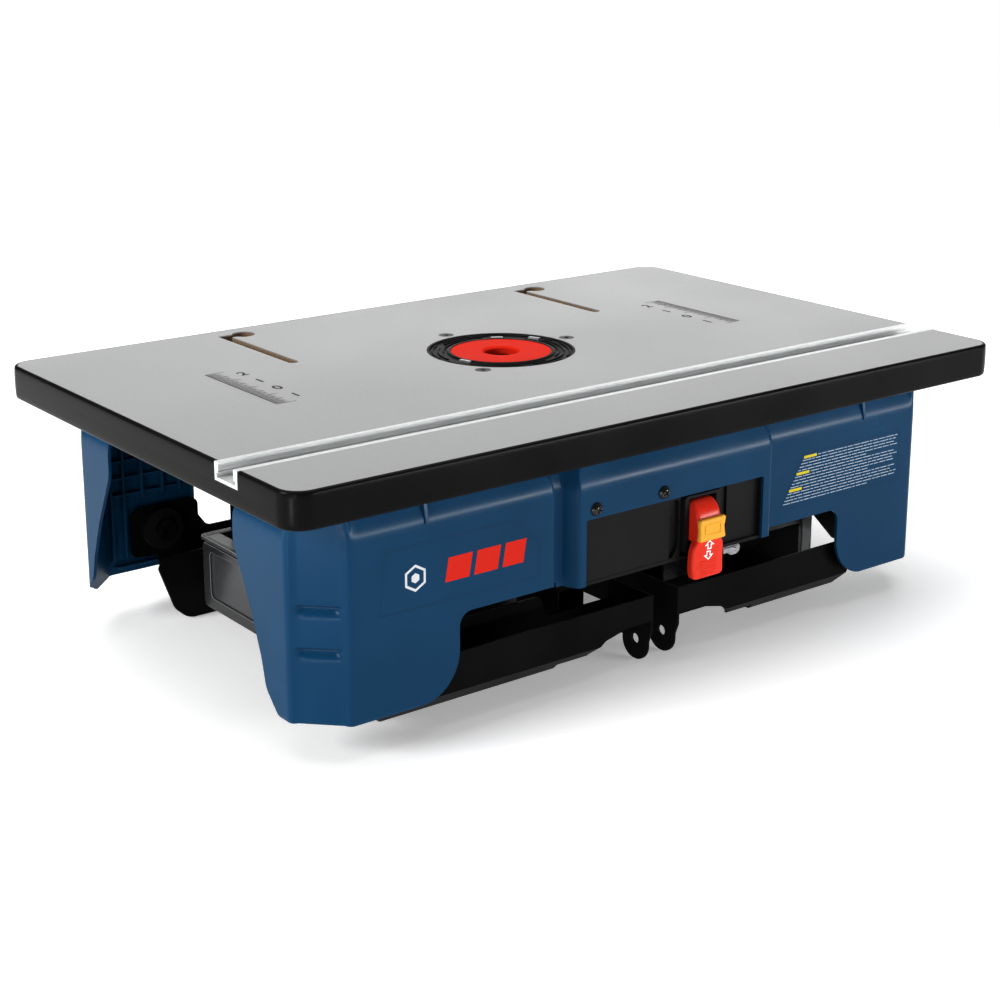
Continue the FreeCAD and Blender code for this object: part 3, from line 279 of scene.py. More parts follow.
def make_powder_coat():
    """Black powder coat with a slight orange-peel."""
    m = Material("powder_coat", roughness=0.34, specular=0.035)
    cloud = m.noise(18, 3)
    m.colour(m.ramp(cloud, [(0.3, (0.0035, 0.0035, 0.004)), (0.7, (0.006, 0.006, 0.0065))]))
    m.rough(cloud, 0.3, 0.42)
    m.bump(m.noise(700, 2), 0.00006, 0.5)
    return m.material


def make_smoked(name, dark, light, alpha):
    """Smoked translucent moulding."""
    m = Material(name, roughness=0.2, specular=0.4)
    cloud = m.noise(9, 2)
    m.colour(m.ramp(cloud, [(0.3, dark), (0.7, light)]))
    m.shader.inputs["Alpha"].default_value = alpha
    m.rough(cloud, 0.16, 0.26)
    return m.material


LAMINATE = make_laminate()
BOARD = make_fibreboard()
BAND = make_plastic("black_edging", (0.004, 0.004, 0.0045), (0.007, 0.007, 0.0075), 0.28, 900, specular=0.07)
BLACK = make_plastic("black_moulding", (0.007, 0.007, 0.008), (0.012, 0.012, 0.013), 0.42, specular=0.1)
RING = make_plastic(
    "ring_moulding", (0.005, 0.005, 0.005), (0.016, 0.016, 0.016), 0.4, 420, 0.00018, specular=0.05)
BLUE = make_plastic("blue_moulding", (0.0046, 0.0435, 0.099), (0.0062, 0.0515, 0.117), 0.25, 1500, specular=0.1)
RED = make_plastic("red_moulding", (0.60, 0.021, 0.008), (0.68, 0.026, 0.010), 0.5, specular=0.02)
SWITCH_RED = make_plastic("switch_red", (0.62, 0.028, 0.012), (0.70, 0.036, 0.014), 0.26, specular=0.2)
YELLOW = make_plastic("switch_yellow", (0.72, 0.36, 0.035), (0.80, 0.42, 0.045), 0.34, specular=0.2)
ALUMINIUM = make_metal(
    "channel_aluminium", (0.60, 0.61, 0.61), (0.80, 0.81, 0.81), 0.32, (1, 40, 40), metallic=0.45)
CAST = make_metal("cast_plate", (0.36, 0.37, 0.38), (0.50, 0.51, 0.52), 0.5, (1, 1, 1), 300, 0.00008)
ZINC = make_metal("zinc", (0.50, 0.51, 0.53), (0.72, 0.73, 0.75), 0.34, (1, 8, 8), 90)
OXIDE = make_metal("black_oxide", (0.03, 0.03, 0.032), (0.055, 0.055, 0.058), 0.4, (1, 1, 1), 400)
STEEL = make_metal("bracket_steel", (0.22, 0.22, 0.23), (0.38, 0.38, 0.39), 0.3, (1, 6, 6), 120)
GLOSS_BLACK = make_plastic("gloss_black", (0.006, 0.006, 0.006), (0.012, 0.012, 0.012), 0.16, specular=0.5)
COAT = make_powder_coat()
SMOKED = make_smoked("smoked", (0.034, 0.035, 0.037), (0.054, 0.056, 0.058), 0.9)
SMOKED_RIM = make_smoked("smoked_rim", (0.016, 0.0165, 0.017), (0.03, 0.031, 0.032), 0.94)
# light grey painted highlight for the tray's bevelled edges, ledge and side strips
SMOKED_PAINTED_HIGHLIGHT = make_smoked("smoked_painted_highlight", (0.20, 0.205, 0.21), (0.28, 0.285, 0.29), 0.92)


def make_print(name, colour, roughness=0.45):
    """Printed ink: even colour with faint wear."""
    m = Material(name, roughness=roughness, specular=0.1)
    wear = m.noise(900, 2)
    worn = tuple(0.93 * part for part in colour)
    m.colour(m.ramp(wear, [(0.3, worn), (0.6, colour)]))
    return m.material


PRINT_WHITE = make_print("print_white", (0.86, 0.86, 0.86))
PRINT_DARK = make_print("print_dark", (0.012, 0.012, 0.012))
# grey of the painted shadow along the scales' base lines
PAINTED_SHADOW_GREY = make_print("painted_shadow_grey", (0.07, 0.07, 0.072))
PRINT_SILVER = make_print("print_silver", (0.62, 0.64, 0.66), 0.3)
PRINT_RED = make_print("print_red", (0.58, 0.020, 0.008))
PRINT_FAINT = make_print("print_faint", (0.42, 0.48, 0.55))
PRINT_YELLOW = make_print("print_yellow", (0.60, 0.50, 0.03))
PRINT_EDGE = make_print("print_edge", (0.006, 0.026, 0.06))

# every node of the part has its material, also those that a piece of this script replaces
NODE_MATERIALS = {
    "table_core": BOARD, "top_laminate": LAMINATE, "bottom_laminate": LAMINATE, "edge_band": BAND,
    "mitre_channel": ALUMINIUM, "mitre_channel_screws": ZINC, "support_ring": RING,
    "insert_clips": ZINC, "insert_ring": RED,
    "router_mounting_plate": CAST, "mounting_plate_screws": OXIDE, "front_skirt": BLUE,
    "rear_left_skirt": BLUE, "rear_right_skirt": BLUE, "skirt_screws": OXIDE, "switch_box": BLACK,
    "switch_cover_plate": BLACK, "switch_box_screws": OXIDE, "switch_bezel": BLACK, "switch_body": BLACK,
    "switch_paddle": SWITCH_RED, "safety_key": YELLOW, "switch_bracket": ZINC, "router_outlet": BLACK,
    "accessory_outlet": BLACK, "cord_gland": BLACK, "left_front_leg_channel": COAT,
    "left_rear_leg_channel": COAT, "left_leg_crossbar": COAT, "right_front_leg_channel": COAT,
    "right_rear_leg_channel": COAT, "right_leg_crossbar": COAT, "leg_pivot_bolts": OXIDE,
    "leg_pivot_washers": BLACK, "left_storage_tray": SMOKED, "right_storage_tray": SMOKED,
    "left_tray_rails": COAT, "right_tray_rails": COAT, "tray_rail_screws": OXIDE,
}
BEVELS = {
    "insert_ring": 0.6, "switch_bezel": 0.7, "switch_box": 0.6, "switch_cover_plate": 0.4,
    "left_front_leg_channel": 0.5, "left_rear_leg_channel": 0.5, "right_front_leg_channel": 0.5,
    "right_rear_leg_channel": 0.5, "left_leg_crossbar": 1.0, "right_leg_crossbar": 1.0,
    "router_mounting_plate": 0.8, "leg_pivot_washers": 0.8, "leg_pivot_bolts": 0.6,
}


def soften(item, width, angle=32):
    """Small rounding on the sharp edges of a piece."""
    bevel = item.modifiers.new("bevel", "BEVEL")
    bevel.width = width * MM
    bevel.segments = 3
    bevel.limit_method = "ANGLE"
    bevel.angle_limit = math.radians(angle)
    bevel.harden_normals = False


# ---------------------------------------------------------------- mesh helpers

PLANES = {"xy": (0, 1, 2), "xz": (0, 2, 1), "yz": (2, 0, 1)}


def level(drop):
    """Height in metres of a level this many millimetres under the working surface."""
    return TOP - drop * MM


def mesh_piece(name, points, faces, material, body="table", smooth=35):
    """Object from points in millimetres (x, y, drop), shaded smooth up to an angle."""
    mesh = bpy.data.meshes.new(name)
    mesh.from_pydata([(x * MM, y * MM, level(drop)) for x, y, drop in points], [], faces)
    mesh.validate()
    work = bmesh.new()
    work.from_mesh(mesh)
    bmesh.ops.recalc_face_normals(work, faces=work.faces)
    work.to_mesh(mesh)
    work.free()
    mesh.materials.append(material)
    item = new_object(name, mesh)
    if smooth:
        mesh.shade_smooth()
        mesh.set_sharp_from_angle(angle=math.radians(smooth))
    if body:
        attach(item, body)
    return item


def fillet(before, corner, after, radius):
    """Centre, start and end of the rounding of a corner between two other points."""
    here = Vector(corner[:2])
    back = (Vector(before[:2]) - here).normalized()
    ahead = (Vector(after[:2]) - here).normalized()
    half = back.angle(ahead) / 2
    reach = radius / math.tan(half)
    centre = here + (back + ahead).normalized() * (radius / math.sin(half))
    return centre, here + back * reach, here + ahead * reach


def arc(centre, first, last, segments=6):
    """Points of a rounding from its start to its end."""
    arm = first - centre
    sweep = arm.angle_signed(last - centre)
    points = []
    for step in range(segments + 1):
        turned = arm.copy()
        turned.rotate(Matrix.Rotation(-sweep * step / segments, 2))
        points.append(centre + turned)
    return points


def rounded(points, segments=6):
    """Outline with its corners rounded; points are (u, v, radius) or (u, v)."""
    outline = []
    for index, point in enumerate(points):
        if len(point) > 2:
            following = points[(index + 1) % len(points)]
            bend = fillet(points[index - 1], point, following, point[2])
            outline += [tuple(spot) for spot in arc(*bend, segments)]
        else:
            outline.append(tuple(Vector(point)))
    return outline


def rectangle(u_low, v_low, u_high, v_high):
    """Outline of a rectangle between two corners."""
    return [(u_low, v_low), (u_high, v_low), (u_high, v_high), (u_low, v_high)]


def bar(u, v, width, height):
    """Outline of a small upright rectangle around a centre."""
    return rectangle(u - width / 2, v - height / 2, u + width / 2, v + height / 2)


def circle(u, v, radius, count=24):
    """Circle as an outline."""
    return [(u + radius * math.cos(math.tau * k / count), v + radius * math.sin(math.tau * k / count))
            for k in range(count)]


def at_depth(outline, plane, depth):
    """Outline in the xy, xz or yz plane (z given as a drop) as points (x, y, drop) at one depth."""
    return [tuple((u, v, depth)[axis] for axis in PLANES[plane]) for u, v in outline]


def slab(name, outline, plane, low, high, material, body="table", slot=None, smooth=35):
    """Prism of an outline between two depths."""
    points = at_depth(outline, plane, low) + at_depth(outline, plane, high)
    count = len(outline)
    faces = [tuple(range(count)), tuple(range(count, 2 * count))]
    faces += [(i, (i + 1) % count, count + (i + 1) % count, count + i) for i in range(count)]
    return mesh_piece(name, points, faces, material, body, smooth)


def join(name, items):
    """One object from several, keeping the first one's place in the tree."""
    bpy.ops.object.select_all(action="DESELECT")
    for item in items:
        item.select_set(True)
    bpy.context.view_layer.objects.active = items[0]
    bpy.ops.object.join()
    items[0].name = name
    return items[0]


def cutter(name, outline, plane, low, high):
    """Throwaway cutting shape."""
    return slab(name, outline, plane, low, high, BLUE, None, None, 0)


def carve(item, shapes):
    """Cut shapes out of a piece and drop them."""
    for shape in shapes:
        step = item.modifiers.new("carve", "BOOLEAN")
        step.operation = "DIFFERENCE"
        step.solver = "EXACT"
        step.object = shape
    bpy.context.view_layer.update()
    graph = bpy.context.evaluated_depsgraph_get()
    mesh = bpy.data.meshes.new_from_object(item.evaluated_get(graph))
    item.modifiers.clear()
    item.data = mesh
    for shape in shapes:
        bpy.data.objects.remove(shape)
    mesh.shade_smooth()
    mesh.set_sharp_from_angle(angle=math.radians(32))
    return item


def ring_loft(name, outlines, material, body, smooth=40, closed_ends=True):
    """Skin through equal-length closed outlines given as lists of (x, y, drop)."""
    points = [point for outline in outlines for point in outline]
    count = len(outlines[0])
    faces = []
    for low in range(0, len(points) - count, count):
        for i in range(count):
            j = (i + 1) % count
            faces.append((low + i, low + j, low + count + j, low + count + i))
    if closed_ends:
        faces.append(tuple(range(count)))
        faces.append(tuple(range(len(points) - count, len(points))))
    return mesh_piece(name, points, faces, material, body, smooth)


# ---------------------------------------------------------------- moulded skirts

SKIRT_X, SKIRT_Y = 300, 180
FACET = 30
FACET_RECESS = 1.1
SHELL = 2.5
THIN_WALL = 0.7
PATH_STEP = 3.0
INNER_WALL = 177.6
SHOULDER_DROP = 49.5
SHOULDER_SOFTNESS = 2.4
BEVEL_SLOPE = 10 / 24
SKIRT_DROP = 178.4
SKIRT_FLANGE = (25.6, 28.5)
GROOVES = (98.0, 127.5)
GROOVE_STEPS = (-4, -3, -2.2, -1.4, -0.6, 0.4, 1.4, 2.6, 4, 6, 8)
GROOVE_DEPTH = 3.4
GROOVE_HALF = 14.0
PIVOTS = {-1: -226.0, 1: 249.5}
PIVOT_DROP = 143.6


def smooth_step(value, low, high):
    """0 below low, 1 above high, smooth between."""
    share = min(1.0, max(0.0, (value - low) / (high - low)))
    return share * share * (3 - 2 * share)


def plan_samples(corners):
    """Places along an open path in plan with rounded corners, each with its outward normal."""
    bends = []
    for index, corner in enumerate(corners):
        if len(corner) > 2:
            bends.append(fillet(corners[index - 1], corner, corners[index + 1], corner[2]))
        else:
            bends.append((None, Vector(corner), Vector(corner)))
    places = []
    for index, (centre, first, last) in enumerate(bends):
        places += [first] if centre is None else arc(centre, first, last)
        if index < len(bends) - 1:
            following = bends[index + 1][1]
            steps = max(1, round((following - last).length / PATH_STEP))
            places += [last.lerp(following, share / steps) for share in range(1, steps)]
    samples = []
    for index, place in enumerate(places):
        before, after = places[max(0, index - 1)], places[min(len(places) - 1, index + 1)]
        along = (after - before).normalized()
        samples.append((place, Vector((along.y, -along.x))))
    return samples


def shell(name, corners, relief):
    """Moulded wall: an outer skin along a path in plan, pushed in or out by relief(place, drop)."""
    samples, drops = plan_samples(corners), skirt_drops()
    points, faces = [], []
    for inside in (False, True):
        for place, normal in samples:
            for drop in drops:
                push = relief(place, drop)
                if inside:
                    push = min(push - THIN_WALL, relief(place, drop, False) - SHELL)
                spot = place + normal * push
                points.append((spot.x, spot.y, drop))
    rows, columns = len(drops), len(samples)
    half = rows * columns
    for column in range(columns - 1):
        for row in range(rows - 1):
            a = column * rows + row
            faces.append((a, a + 1, a + rows + 1, a + rows))
            faces.append((half + a, half + a + rows, half + a + rows + 1, half + a + 1))
        for row in (0, rows - 1):
            a = column * rows + row
            faces.append((a, a + rows, half + a + rows, half + a))
    for column in (0, columns - 1):
        for row in range(rows - 1):
            a = column * rows + row
            faces.append((a, a + 1, half + a + 1, half + a))
    return mesh_piece(name, points, faces, BLUE, "table", 40)


def skirt_drops():
    """Levels of the skirt's grid: close together at the shoulder, the grooves and the lower edge."""
    drops = [25.5, 30, 35, 40, 43, 45, 46.5, 48, 49.5, 51, 52.5, 54, 56, 60, 68, 76, 84, 90]
    drops += [groove + step for groove in GROOVES for step in GROOVE_STEPS]
    drops += [110, 116, 140, 148, 156, 164, 171, 175.5, 177.2, SKIRT_DROP]
    return sorted(drops)


def shoulder_push(drop):
    """How far the wall leans in above its shoulder, with the shoulder rounded."""
    rise = min(40, (SHOULDER_DROP - drop) / SHOULDER_SOFTNESS)
    return -BEVEL_SLOPE * SHOULDER_SOFTNESS * math.log(1 + math.exp(rise))


def groove_push(drop, across):
    """Two horizontal grooves: sharp under their upper edge, sloping out below, fading at both ends."""
    push = 0.0
    ends = 1 - smooth_step(abs(across), GROOVE_HALF - 2.5, GROOVE_HALF + 1.0)
    for groove in GROOVES:
        under = smooth_step(drop, groove - 3.4, groove - 1.2)
        out = 1 - smooth_step(drop, groove - 0.8, groove + 5.5)
        push -= GROOVE_DEPTH * under * out * ends
    return push


def edge_push(drop):
    """Rounding of the lower edge."""
    return -0.9 * smooth_step(drop, SKIRT_DROP - 1.8, SKIRT_DROP + 0.4)


def skirt_relief(facets):
    """Relief of a skirt whose corner facets have these middles in plan."""

    def relief(place, drop, detail=True):
        nearest = min((place - middle).length for middle in facets)
        push = shoulder_push(drop) * smooth_step(nearest, 17.0, 25.0)
        if detail:
            push += edge_push(drop) - FACET_RECESS * (1 - smooth_step(nearest, 15.0, 19.5))
            if nearest < 25:
                push += groove_push(drop, nearest)
        return push

    return relief


def corner_path(side, front):
    """The two corners of a skirt's facet, first the one at the end wall."""
    inner_x, inner_y = SKIRT_X - FACET, SKIRT_Y - FACET
    return [(side * SKIRT_X, front * inner_y, 7), (side * inner_x, front * SKIRT_Y, 7)]


def facet_middle(side, front):
    """Middle of a corner facet in plan."""
    return Vector((side * (SKIRT_X - FACET / 2), front * (SKIRT_Y - FACET / 2)))


def taper_cutter(side, first, x_low):
    """Tapered free edge of an end return."""
    edge = [
        (first + 15, 24), (first + 15, 34, 3), (first, 45, 11), (first, 71, 24), (first + 21, 112, 60),
        (first + 33, 143, 40), (first + 38, 163, 14), (first + 56, 181), (40, 181), (40, 24),
    ]
    outline = [(y * side, drop) for y, drop in rounded(edge, 8)]
    return cutter("taper", outline, "yz", x_low, x_low + 40)


def make_front_skirt():
    """Front skirt with its proud switch panel, window, switch opening and tapered ends."""
    corners = [
        (-SKIRT_X, -83), *corner_path(-1, -1), (-101, -SKIRT_Y, 3.2), (-98.3, -174.4, 1.6),
        (-90.4, -174.4, 1.6), (-84.8, -186.8, 3.6), (102.5, -186.8, 3.6), (109, -SKIRT_Y, 2),
        *corner_path(1, -1)[::-1], (SKIRT_X, -83),
    ]
    wall = shell("front_skirt_moulding", corners, skirt_relief([facet_middle(-1, -1), facet_middle(1, -1)]))
    window = rounded([
        (-222, 183), (-222, 178.8), (-183, 178.8, 34), (-183, 119, 10), (-95, 119), (-95, 122.4),
        (106, 122.4), (106, 119), (186, 119, 10), (186, 178.8, 34), (225, 178.8), (225, 183),
    ], 10)
    opening = rounded([(-78, 73.4, 1.5), (95, 73.4, 1.5), (95, 125), (-78, 125)], 4)
    carve(wall, [
        cutter("window", window, "xz", -195, -160), cutter("switch_gap", opening, "xz", -195, -160),
        taper_cutter(-1, 83, -305), taper_cutter(-1, 83, 265),
    ])
    soften(wall, 0.55, 42)
    return wall


def make_rear_skirt(side, name):
    """Rear corner skirt, open on its inner side."""
    corners = [(side * SKIRT_X, 103), *corner_path(side, 1), (side * 191, SKIRT_Y)]
    if side < 0:
        corners = corners[::-1]
    wall = shell(name, corners, skirt_relief([facet_middle(side, 1)]))
    carve(wall, [taper_cutter(1, 103, -305 if side < 0 else 265)])
    soften(wall, 0.55, 42)
    return wall


def make_gussets():
    """Small triangular gussets that stand in the bevel above the shoulder."""
    parts = []
    outline = [(-180.6, 50.5), (-168, 50.5), (-168, 25.6), (-174.8, 25.6), (-177.6, 35)]
    for x in (-209, 212):
        parts.append(slab(f"gusset_{x}", outline, "yz", x - 1.5, x + 1.5, BLUE, "table", "skirt"))
    soften(join("front_skirt_gussets", parts), 0.4)


def make_rear_ribs(side, name):
    """Ribs and shelves inside a rear corner skirt."""
    parts, half = [], 0.9

    def rib(tag, x, low, high, depth):
        inner = INNER_WALL - depth
        outline = [(INNER_WALL, low), (INNER_WALL, high), (inner, high - 4), (inner, low + 4)]
        parts.append(slab(tag, outline, "yz", side * x - half, side * x + half, BLUE, "table", "skirt"))

    def shelf(tag, drop, low, high, depth):
        first, last = sorted((side * low, side * high))
        inner = INNER_WALL - depth
        outline = [(first, INNER_WALL), (last, INNER_WALL), (last - 3, inner), (first + 3, inner)]
        parts.append(slab(tag, outline, "xy", drop - half, drop + half, BLUE, "table", "skirt"))

    for number, x in enumerate((196, 207, 222, 240, 256, 267)):
        rib(f"rib_{number}", x, 40 + 4 * (number % 2), 120 if 203 < x < 250 else 168, 7)
    for number, drop in enumerate((62, 84, 98, 112)):
        shelf(f"shelf_{number}", drop, 195, 268, 5.5)
    shelf("low_shelf", 172, 195, 266, 5)
    soften(join(name, parts), 0.35)


def make_flanges():
    """Screwing flanges of the three skirts, under the top, and the bosses of the leg pivots."""
    parts = []

    def flange(name, outline):
        parts.append(slab(name, rounded(outline), "xy", *SKIRT_FLANGE, BLUE, "table", "skirt"))

    flange("front_flange", [(-262, -170.5), (262, -170.5), (258, -146, 6), (-258, -146, 6)])
    for side in (-1, 1):
        low, high = sorted((side * 290.5, side * 262))
        flange("end_flange", [(low, -150, 3), (high, -150, 3), (high, -90, 5), (low, -90, 5)])
        low, high = sorted((side * 286, side * 192))
        flange("rear_flange", [(low, 145, 5), (high, 145, 5), (high, 169, 2), (low, 169, 2)])
        for front in (-1, 1):
            near, far = sorted((front * INNER_WALL, front * 172.4))
            boss = circle(PIVOTS[side], PIVOT_DROP, 13, 32)
            parts.append(slab("boss", boss, "xz", near, far, BLUE, "table", "skirt"))
    soften(join("skirt_flanges", parts), 0.5)


def make_edge_band():
    """Extruded edging: slightly bulged, with rounded lips, notched where the channel runs out."""
    profile = [
        (3.0, 0.0), (2.1, 0.0), (1.25, 0.25), (0.6, 0.85), (0.28, 1.9), (0.1, 4.5), (0.0, 9.0), (0.0, 16.5),
        (0.1, 21.0), (0.28, 23.6), (0.6, 24.65), (1.25, 25.25), (2.1, 25.5), (3.0, 25.5),
    ]
    half_x, half_y, corner = 330.2, 209.55, 18.0
    plan = []
    for sign_x, sign_y, start in ((1, 1, 0), (-1, 1, 90), (-1, -1, 180), (1, -1, 270)):
        centre = (sign_x * (half_x - corner), sign_y * (half_y - corner))
        for step in range(13):
            turn = math.radians(start + 7.5 * step)
            plan.append((centre, (math.cos(turn), math.sin(turn))))
    loops = []
    for inset, drop in profile:
        loops.append([
            (centre[0] + (corner - inset) * arm[0], centre[1] + (corner - inset) * arm[1], drop)
            for centre, arm in plan])
    loops.append(loops[0])
    band = ring_loft("bulged_edge_band", loops, BAND, "table", 50, False)
    low, high = -146.5, -117.5
    notch = cutter("notch", rectangle(-340, low, 340, high), "xy", -5, 12.5)
    carve(band, [notch])
    soften(band, 0.25, 60)
    return band


def round_ring(x, half_width, front, back, drop, corner, segments=5):
    """Closed outline in plan: a rectangle with rounded front corners."""
    corner = min(corner, half_width * 0.98, (back - front) * 0.98)
    points = []
    for side, centre_x in ((-1, x - half_width + corner), (1, x + half_width - corner)):
        for step in range(segments + 1):
            turn = math.radians((180 if side < 0 else 270) + 90 * step / segments)
            points.append((centre_x + corner * math.cos(turn), front + corner + corner * math.sin(turn), drop))
    points.append((x + half_width, back, drop))
    points.append((x - half_width, back, drop))
    return points


PADDLE_X = 31.6
PADDLE_SHARE = 0.9
PADDLE_LEVELS = (
    (78.4, 9.0, -186.2, -183.4, 2.0), (78.9, 11.4, -188.0, -182.4, 3.0), (80.4, 12.5, -190.2, -182.0, 3.0),
    (83.0, 12.9, -192.8, -182.0, 3.0), (86.5, 13.0, -194.8, -182.0, 2.8), (90.5, 13.0, -196.0, -182.0, 2.6),
    (96.0, 13.0, -196.6, -182.0, 2.4), (104.0, 13.0, -196.6, -182.0, 2.4), (107.0, 13.2, -196.5, -183.0, 2.4),
    (108.3, 13.8, -196.4, -190.4, 2.4), (110.0, 15.2, -196.2, -190.6, 2.2), (112.5, 16.6, -195.9, -190.6, 2.2),
    (116.0, 17.3, -195.4, -190.4, 2.0), (122.0, 17.5, -194.9, -190.0, 2.0), (129.0, 17.5, -195.0, -190.0, 2.0),
    (133.0, 17.2, -195.5, -190.4, 2.0), (135.2, 16.4, -195.7, -190.8, 2.0), (136.4, 14.8, -195.4, -191.2, 1.8),
    (137.0, 12.6, -194.6, -192.0, 1.2),
)


def paddle_front(drop):
    """Y of the paddle's front face at a level."""
    for (low, _, front_low, *_), (high, _, front_high, *_) in zip(PADDLE_LEVELS, PADDLE_LEVELS[1:]):
        if low <= drop <= high:
            return front_low + (front_high - front_low) * (drop - low) / (high - low)
    return PADDLE_LEVELS[-1][2]


def make_paddle():
    """Red switch paddle with its tongue, finger ridges and two white arrows."""
    outlines = [
        round_ring(PADDLE_X, PADDLE_SHARE * half, front, back, drop, corner)
        for drop, half, front, back, corner in PADDLE_LEVELS
    ]
    paddle = ring_loft("paddle_moulding", outlines, SWITCH_RED, "switch_paddle", 50)
    ridges = []
    for index in range(6):
        drop = 124.4 + index * 1.9
        front = paddle_front(drop)
        foot, crest = front + 0.4, front - 0.35
        outline = [(foot, drop - 0.5), (crest, drop - 0.12), (crest, drop + 0.12), (foot, drop + 0.5)]
        wide = 8.5 - 0.3 * index
        ridges.append(slab(
            "ridge", outline, "yz", PADDLE_X - wide, PADDLE_X + wide, SWITCH_RED, "switch_paddle",
            "switch_red"))
    join("paddle_ridges", ridges)
    arrows = []
    for sign, base in ((-1, 115.0), (1, 116.4)):
        shape = [(-2.1, 0), (2.1, 0), (2.1, 3.0), (4.9, 3.0), (0, 7.2), (-4.9, 3.0), (-2.1, 3.0)]
        hole = [(-1.1, 1.0), (1.1, 1.0), (1.1, 4.0), (2.3, 4.0), (0, 5.9), (-2.3, 4.0), (-1.1, 4.0)]
        outline = [(PADDLE_X + u, base + sign * v) for u, v in shape]
        middle = base + sign * 3.2
        face = paddle_front(middle) - 0.4
        arrow = slab(f"arrow_{sign + 2}", outline, "xz", face, face + 1.2, PRINT_WHITE, "switch_paddle", None)
        gap = cutter("arrow_gap", [(PADDLE_X + u, base + sign * v) for u, v in hole], "xz", face - 1, face + 2)
        carve(arrow, [gap])
        arrows.append(arrow)
    join("paddle_arrows", arrows)
    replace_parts(paddle, "switch_paddle")


def make_key():
    """Yellow safety key: waisted sides, a dished face with a raised rectangle."""
    levels = (
        (90.0, 12.2, -199.0, -197.2, 1.0), (90.4, 13.6, -199.7, -196.9, 1.4), (91.4, 14.3, -200.1, -196.9, 1.6),
        (94.0, 14.2, -199.9, -196.9, 1.6), (98.5, 13.6, -199.5, -196.9, 1.6),
        (103.0, 14.0, -199.8, -196.9, 1.6), (105.6, 14.4, -200.1, -196.9, 1.6),
        (106.6, 13.8, -199.8, -196.9, 1.4), (107.0, 12.4, -199.2, -197.2, 1.0),
    )
    outlines = [
        round_ring(PADDLE_X, PADDLE_SHARE * half, front, back, drop, corner)
        for drop, half, front, back, corner in levels]
    key = ring_loft("key_moulding", outlines, YELLOW, "safety_key", 50)

    def patch(half, low, high, radius):
        """Rounded rectangle on the key's face."""
        return rounded([(PADDLE_X + u, drop, radius) for u, drop in rectangle(-half, low, half, high)])

    rim = slab(
        "key_rim", patch(8, 94.3, 102.9, 1.2), "xz", -200.1, -198.9, YELLOW, "safety_key", "switch_yellow")
    carve(rim, [cutter("rim_gap", patch(7, 95.2, 102, 0.8), "xz", -201, -199.65)])
    stem = slab(
        "key_stem", patch(5, 94.1, 102.9, 0.6), "xz", -197.4, -182, YELLOW, "safety_key", "switch_yellow")
    join("key_rim_and_stem", [rim, stem])
    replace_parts(key, "safety_key")


TRAY_TOP = 133
TRAY_BOTTOM = 191
TRAY_HALF = 102.5
TRAY_LENGTH = 151
RIM_FLANGE = 3.4


def open_box(name, low, high, half, top, bottom, wall, corner, material, body):
    """Open-topped box with rounded corners and even walls."""

    def outline(inset, drop, flange=0.0):
        radius = max(0.6, corner - inset)
        deep = half + flange - inset
        points = rounded([
            (low + inset, -deep, radius), (high - inset, -deep, radius), (high - inset, deep, radius),
            (low + inset, deep, radius)], 5)
        return [(x, y, drop) for x, y in points]

    edge = 1.2
    levels = [
        outline(edge, bottom), outline(0, bottom - edge), outline(0, top + 2.6),
        outline(-1.6, top + 2.5, RIM_FLANGE),
        outline(-1.6, top + 0.4, RIM_FLANGE), outline(-1.2, top, RIM_FLANGE), outline(wall - 0.4, top),
        outline(wall, top + 0.4), outline(wall, bottom - wall - edge), outline(wall + edge, bottom - wall),
    ]
    return ring_loft(name, levels, material, body, 28)


def make_tray(end):
    """Smoked tray with a divider and a pull on its outer end; its bevelled edges, the ledge and the side strips
    are painted light grey as a painted highlight.
    """
    side, outer = (-1, 223.5) if end == "left" else (1, 240)
    body, slot = f"{end}_tray", "tray"
    low, high = sorted((side * (outer - TRAY_LENGTH), side * outer))
    tray = open_box(
        f"{end}_tray_moulding", low, high, TRAY_HALF, TRAY_TOP, TRAY_BOTTOM, 2.2, 3.2, SMOKED, body)
    divider = slab(
        f"{end}_tray_divider", rectangle(1 - TRAY_HALF, TRAY_BOTTOM - 1, TRAY_HALF - 1, 153), "yz",
        side * 143 - 0.9, side * 143 + 0.9, SMOKED, body, slot)
    near, far = sorted((side * (outer - 2), side * (outer + 1.4)))
    outline = rounded([(-30, 138.5), (30, 138.5), (30, 148, 3), (-30, 148, 3)])
    pull = slab(f"{end}_tray_pull", outline, "yz", near, far, SMOKED, body, slot)
    edge, bottom = TRAY_HALF - 0.6, TRAY_BOTTOM - 1.2
    outline = rounded([(-edge, 137.5, 3), (edge, 137.5, 3), (edge, bottom, 4), (-edge, bottom, 4)])
    frame = slab(f"{end}_tray_frame", outline, "yz", near, far, SMOKED_RIM, body, slot)
    first, last = sorted((side * (outer - 13), side * (outer - 1)))
    # ledge coloured light grey: a painted highlight along the top of the outer end
    ledge = slab(
        f"{end}_tray_ledge", rectangle(first, -100, last, 100), "xy", 133.2, 135.2, SMOKED_PAINTED_HIGHLIGHT, body, slot)
    edge, bottom = TRAY_HALF - 11, TRAY_BOTTOM - 10
    outline = rounded([(-edge, 143, 4), (edge, 143, 4), (edge, bottom, 5), (-edge, bottom, 5)])
    carve(frame, [cutter("frame_window", outline, "yz", near - 3, far + 3)])
    # light grey side strips at the outer end's corners: painted highlight
    strips = []
    first, last = sorted((side * (outer - 11), side * (outer - 1.5)))
    for across in (-1, 1):
        near, far = sorted((across * (TRAY_HALF - 1), across * (TRAY_HALF + 0.7)))
        strips.append(slab(
            f"{end}_tray_highlight_strip", rectangle(first, 137, last, 189), "xz", near, far, SMOKED_PAINTED_HIGHLIGHT, body, slot))
    tray = join(f"{end}_tray_moulding", [tray, divider, pull, frame, ledge] + strips)
    soften(tray, 0.9)
    # the bevelled edges take the light grey material: a painted highlight on every edge
    tray.modifiers["bevel"].material = tray.data.materials.find(SMOKED_PAINTED_HIGHLIGHT.name)
    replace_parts(tray, f"{end}_storage_tray")


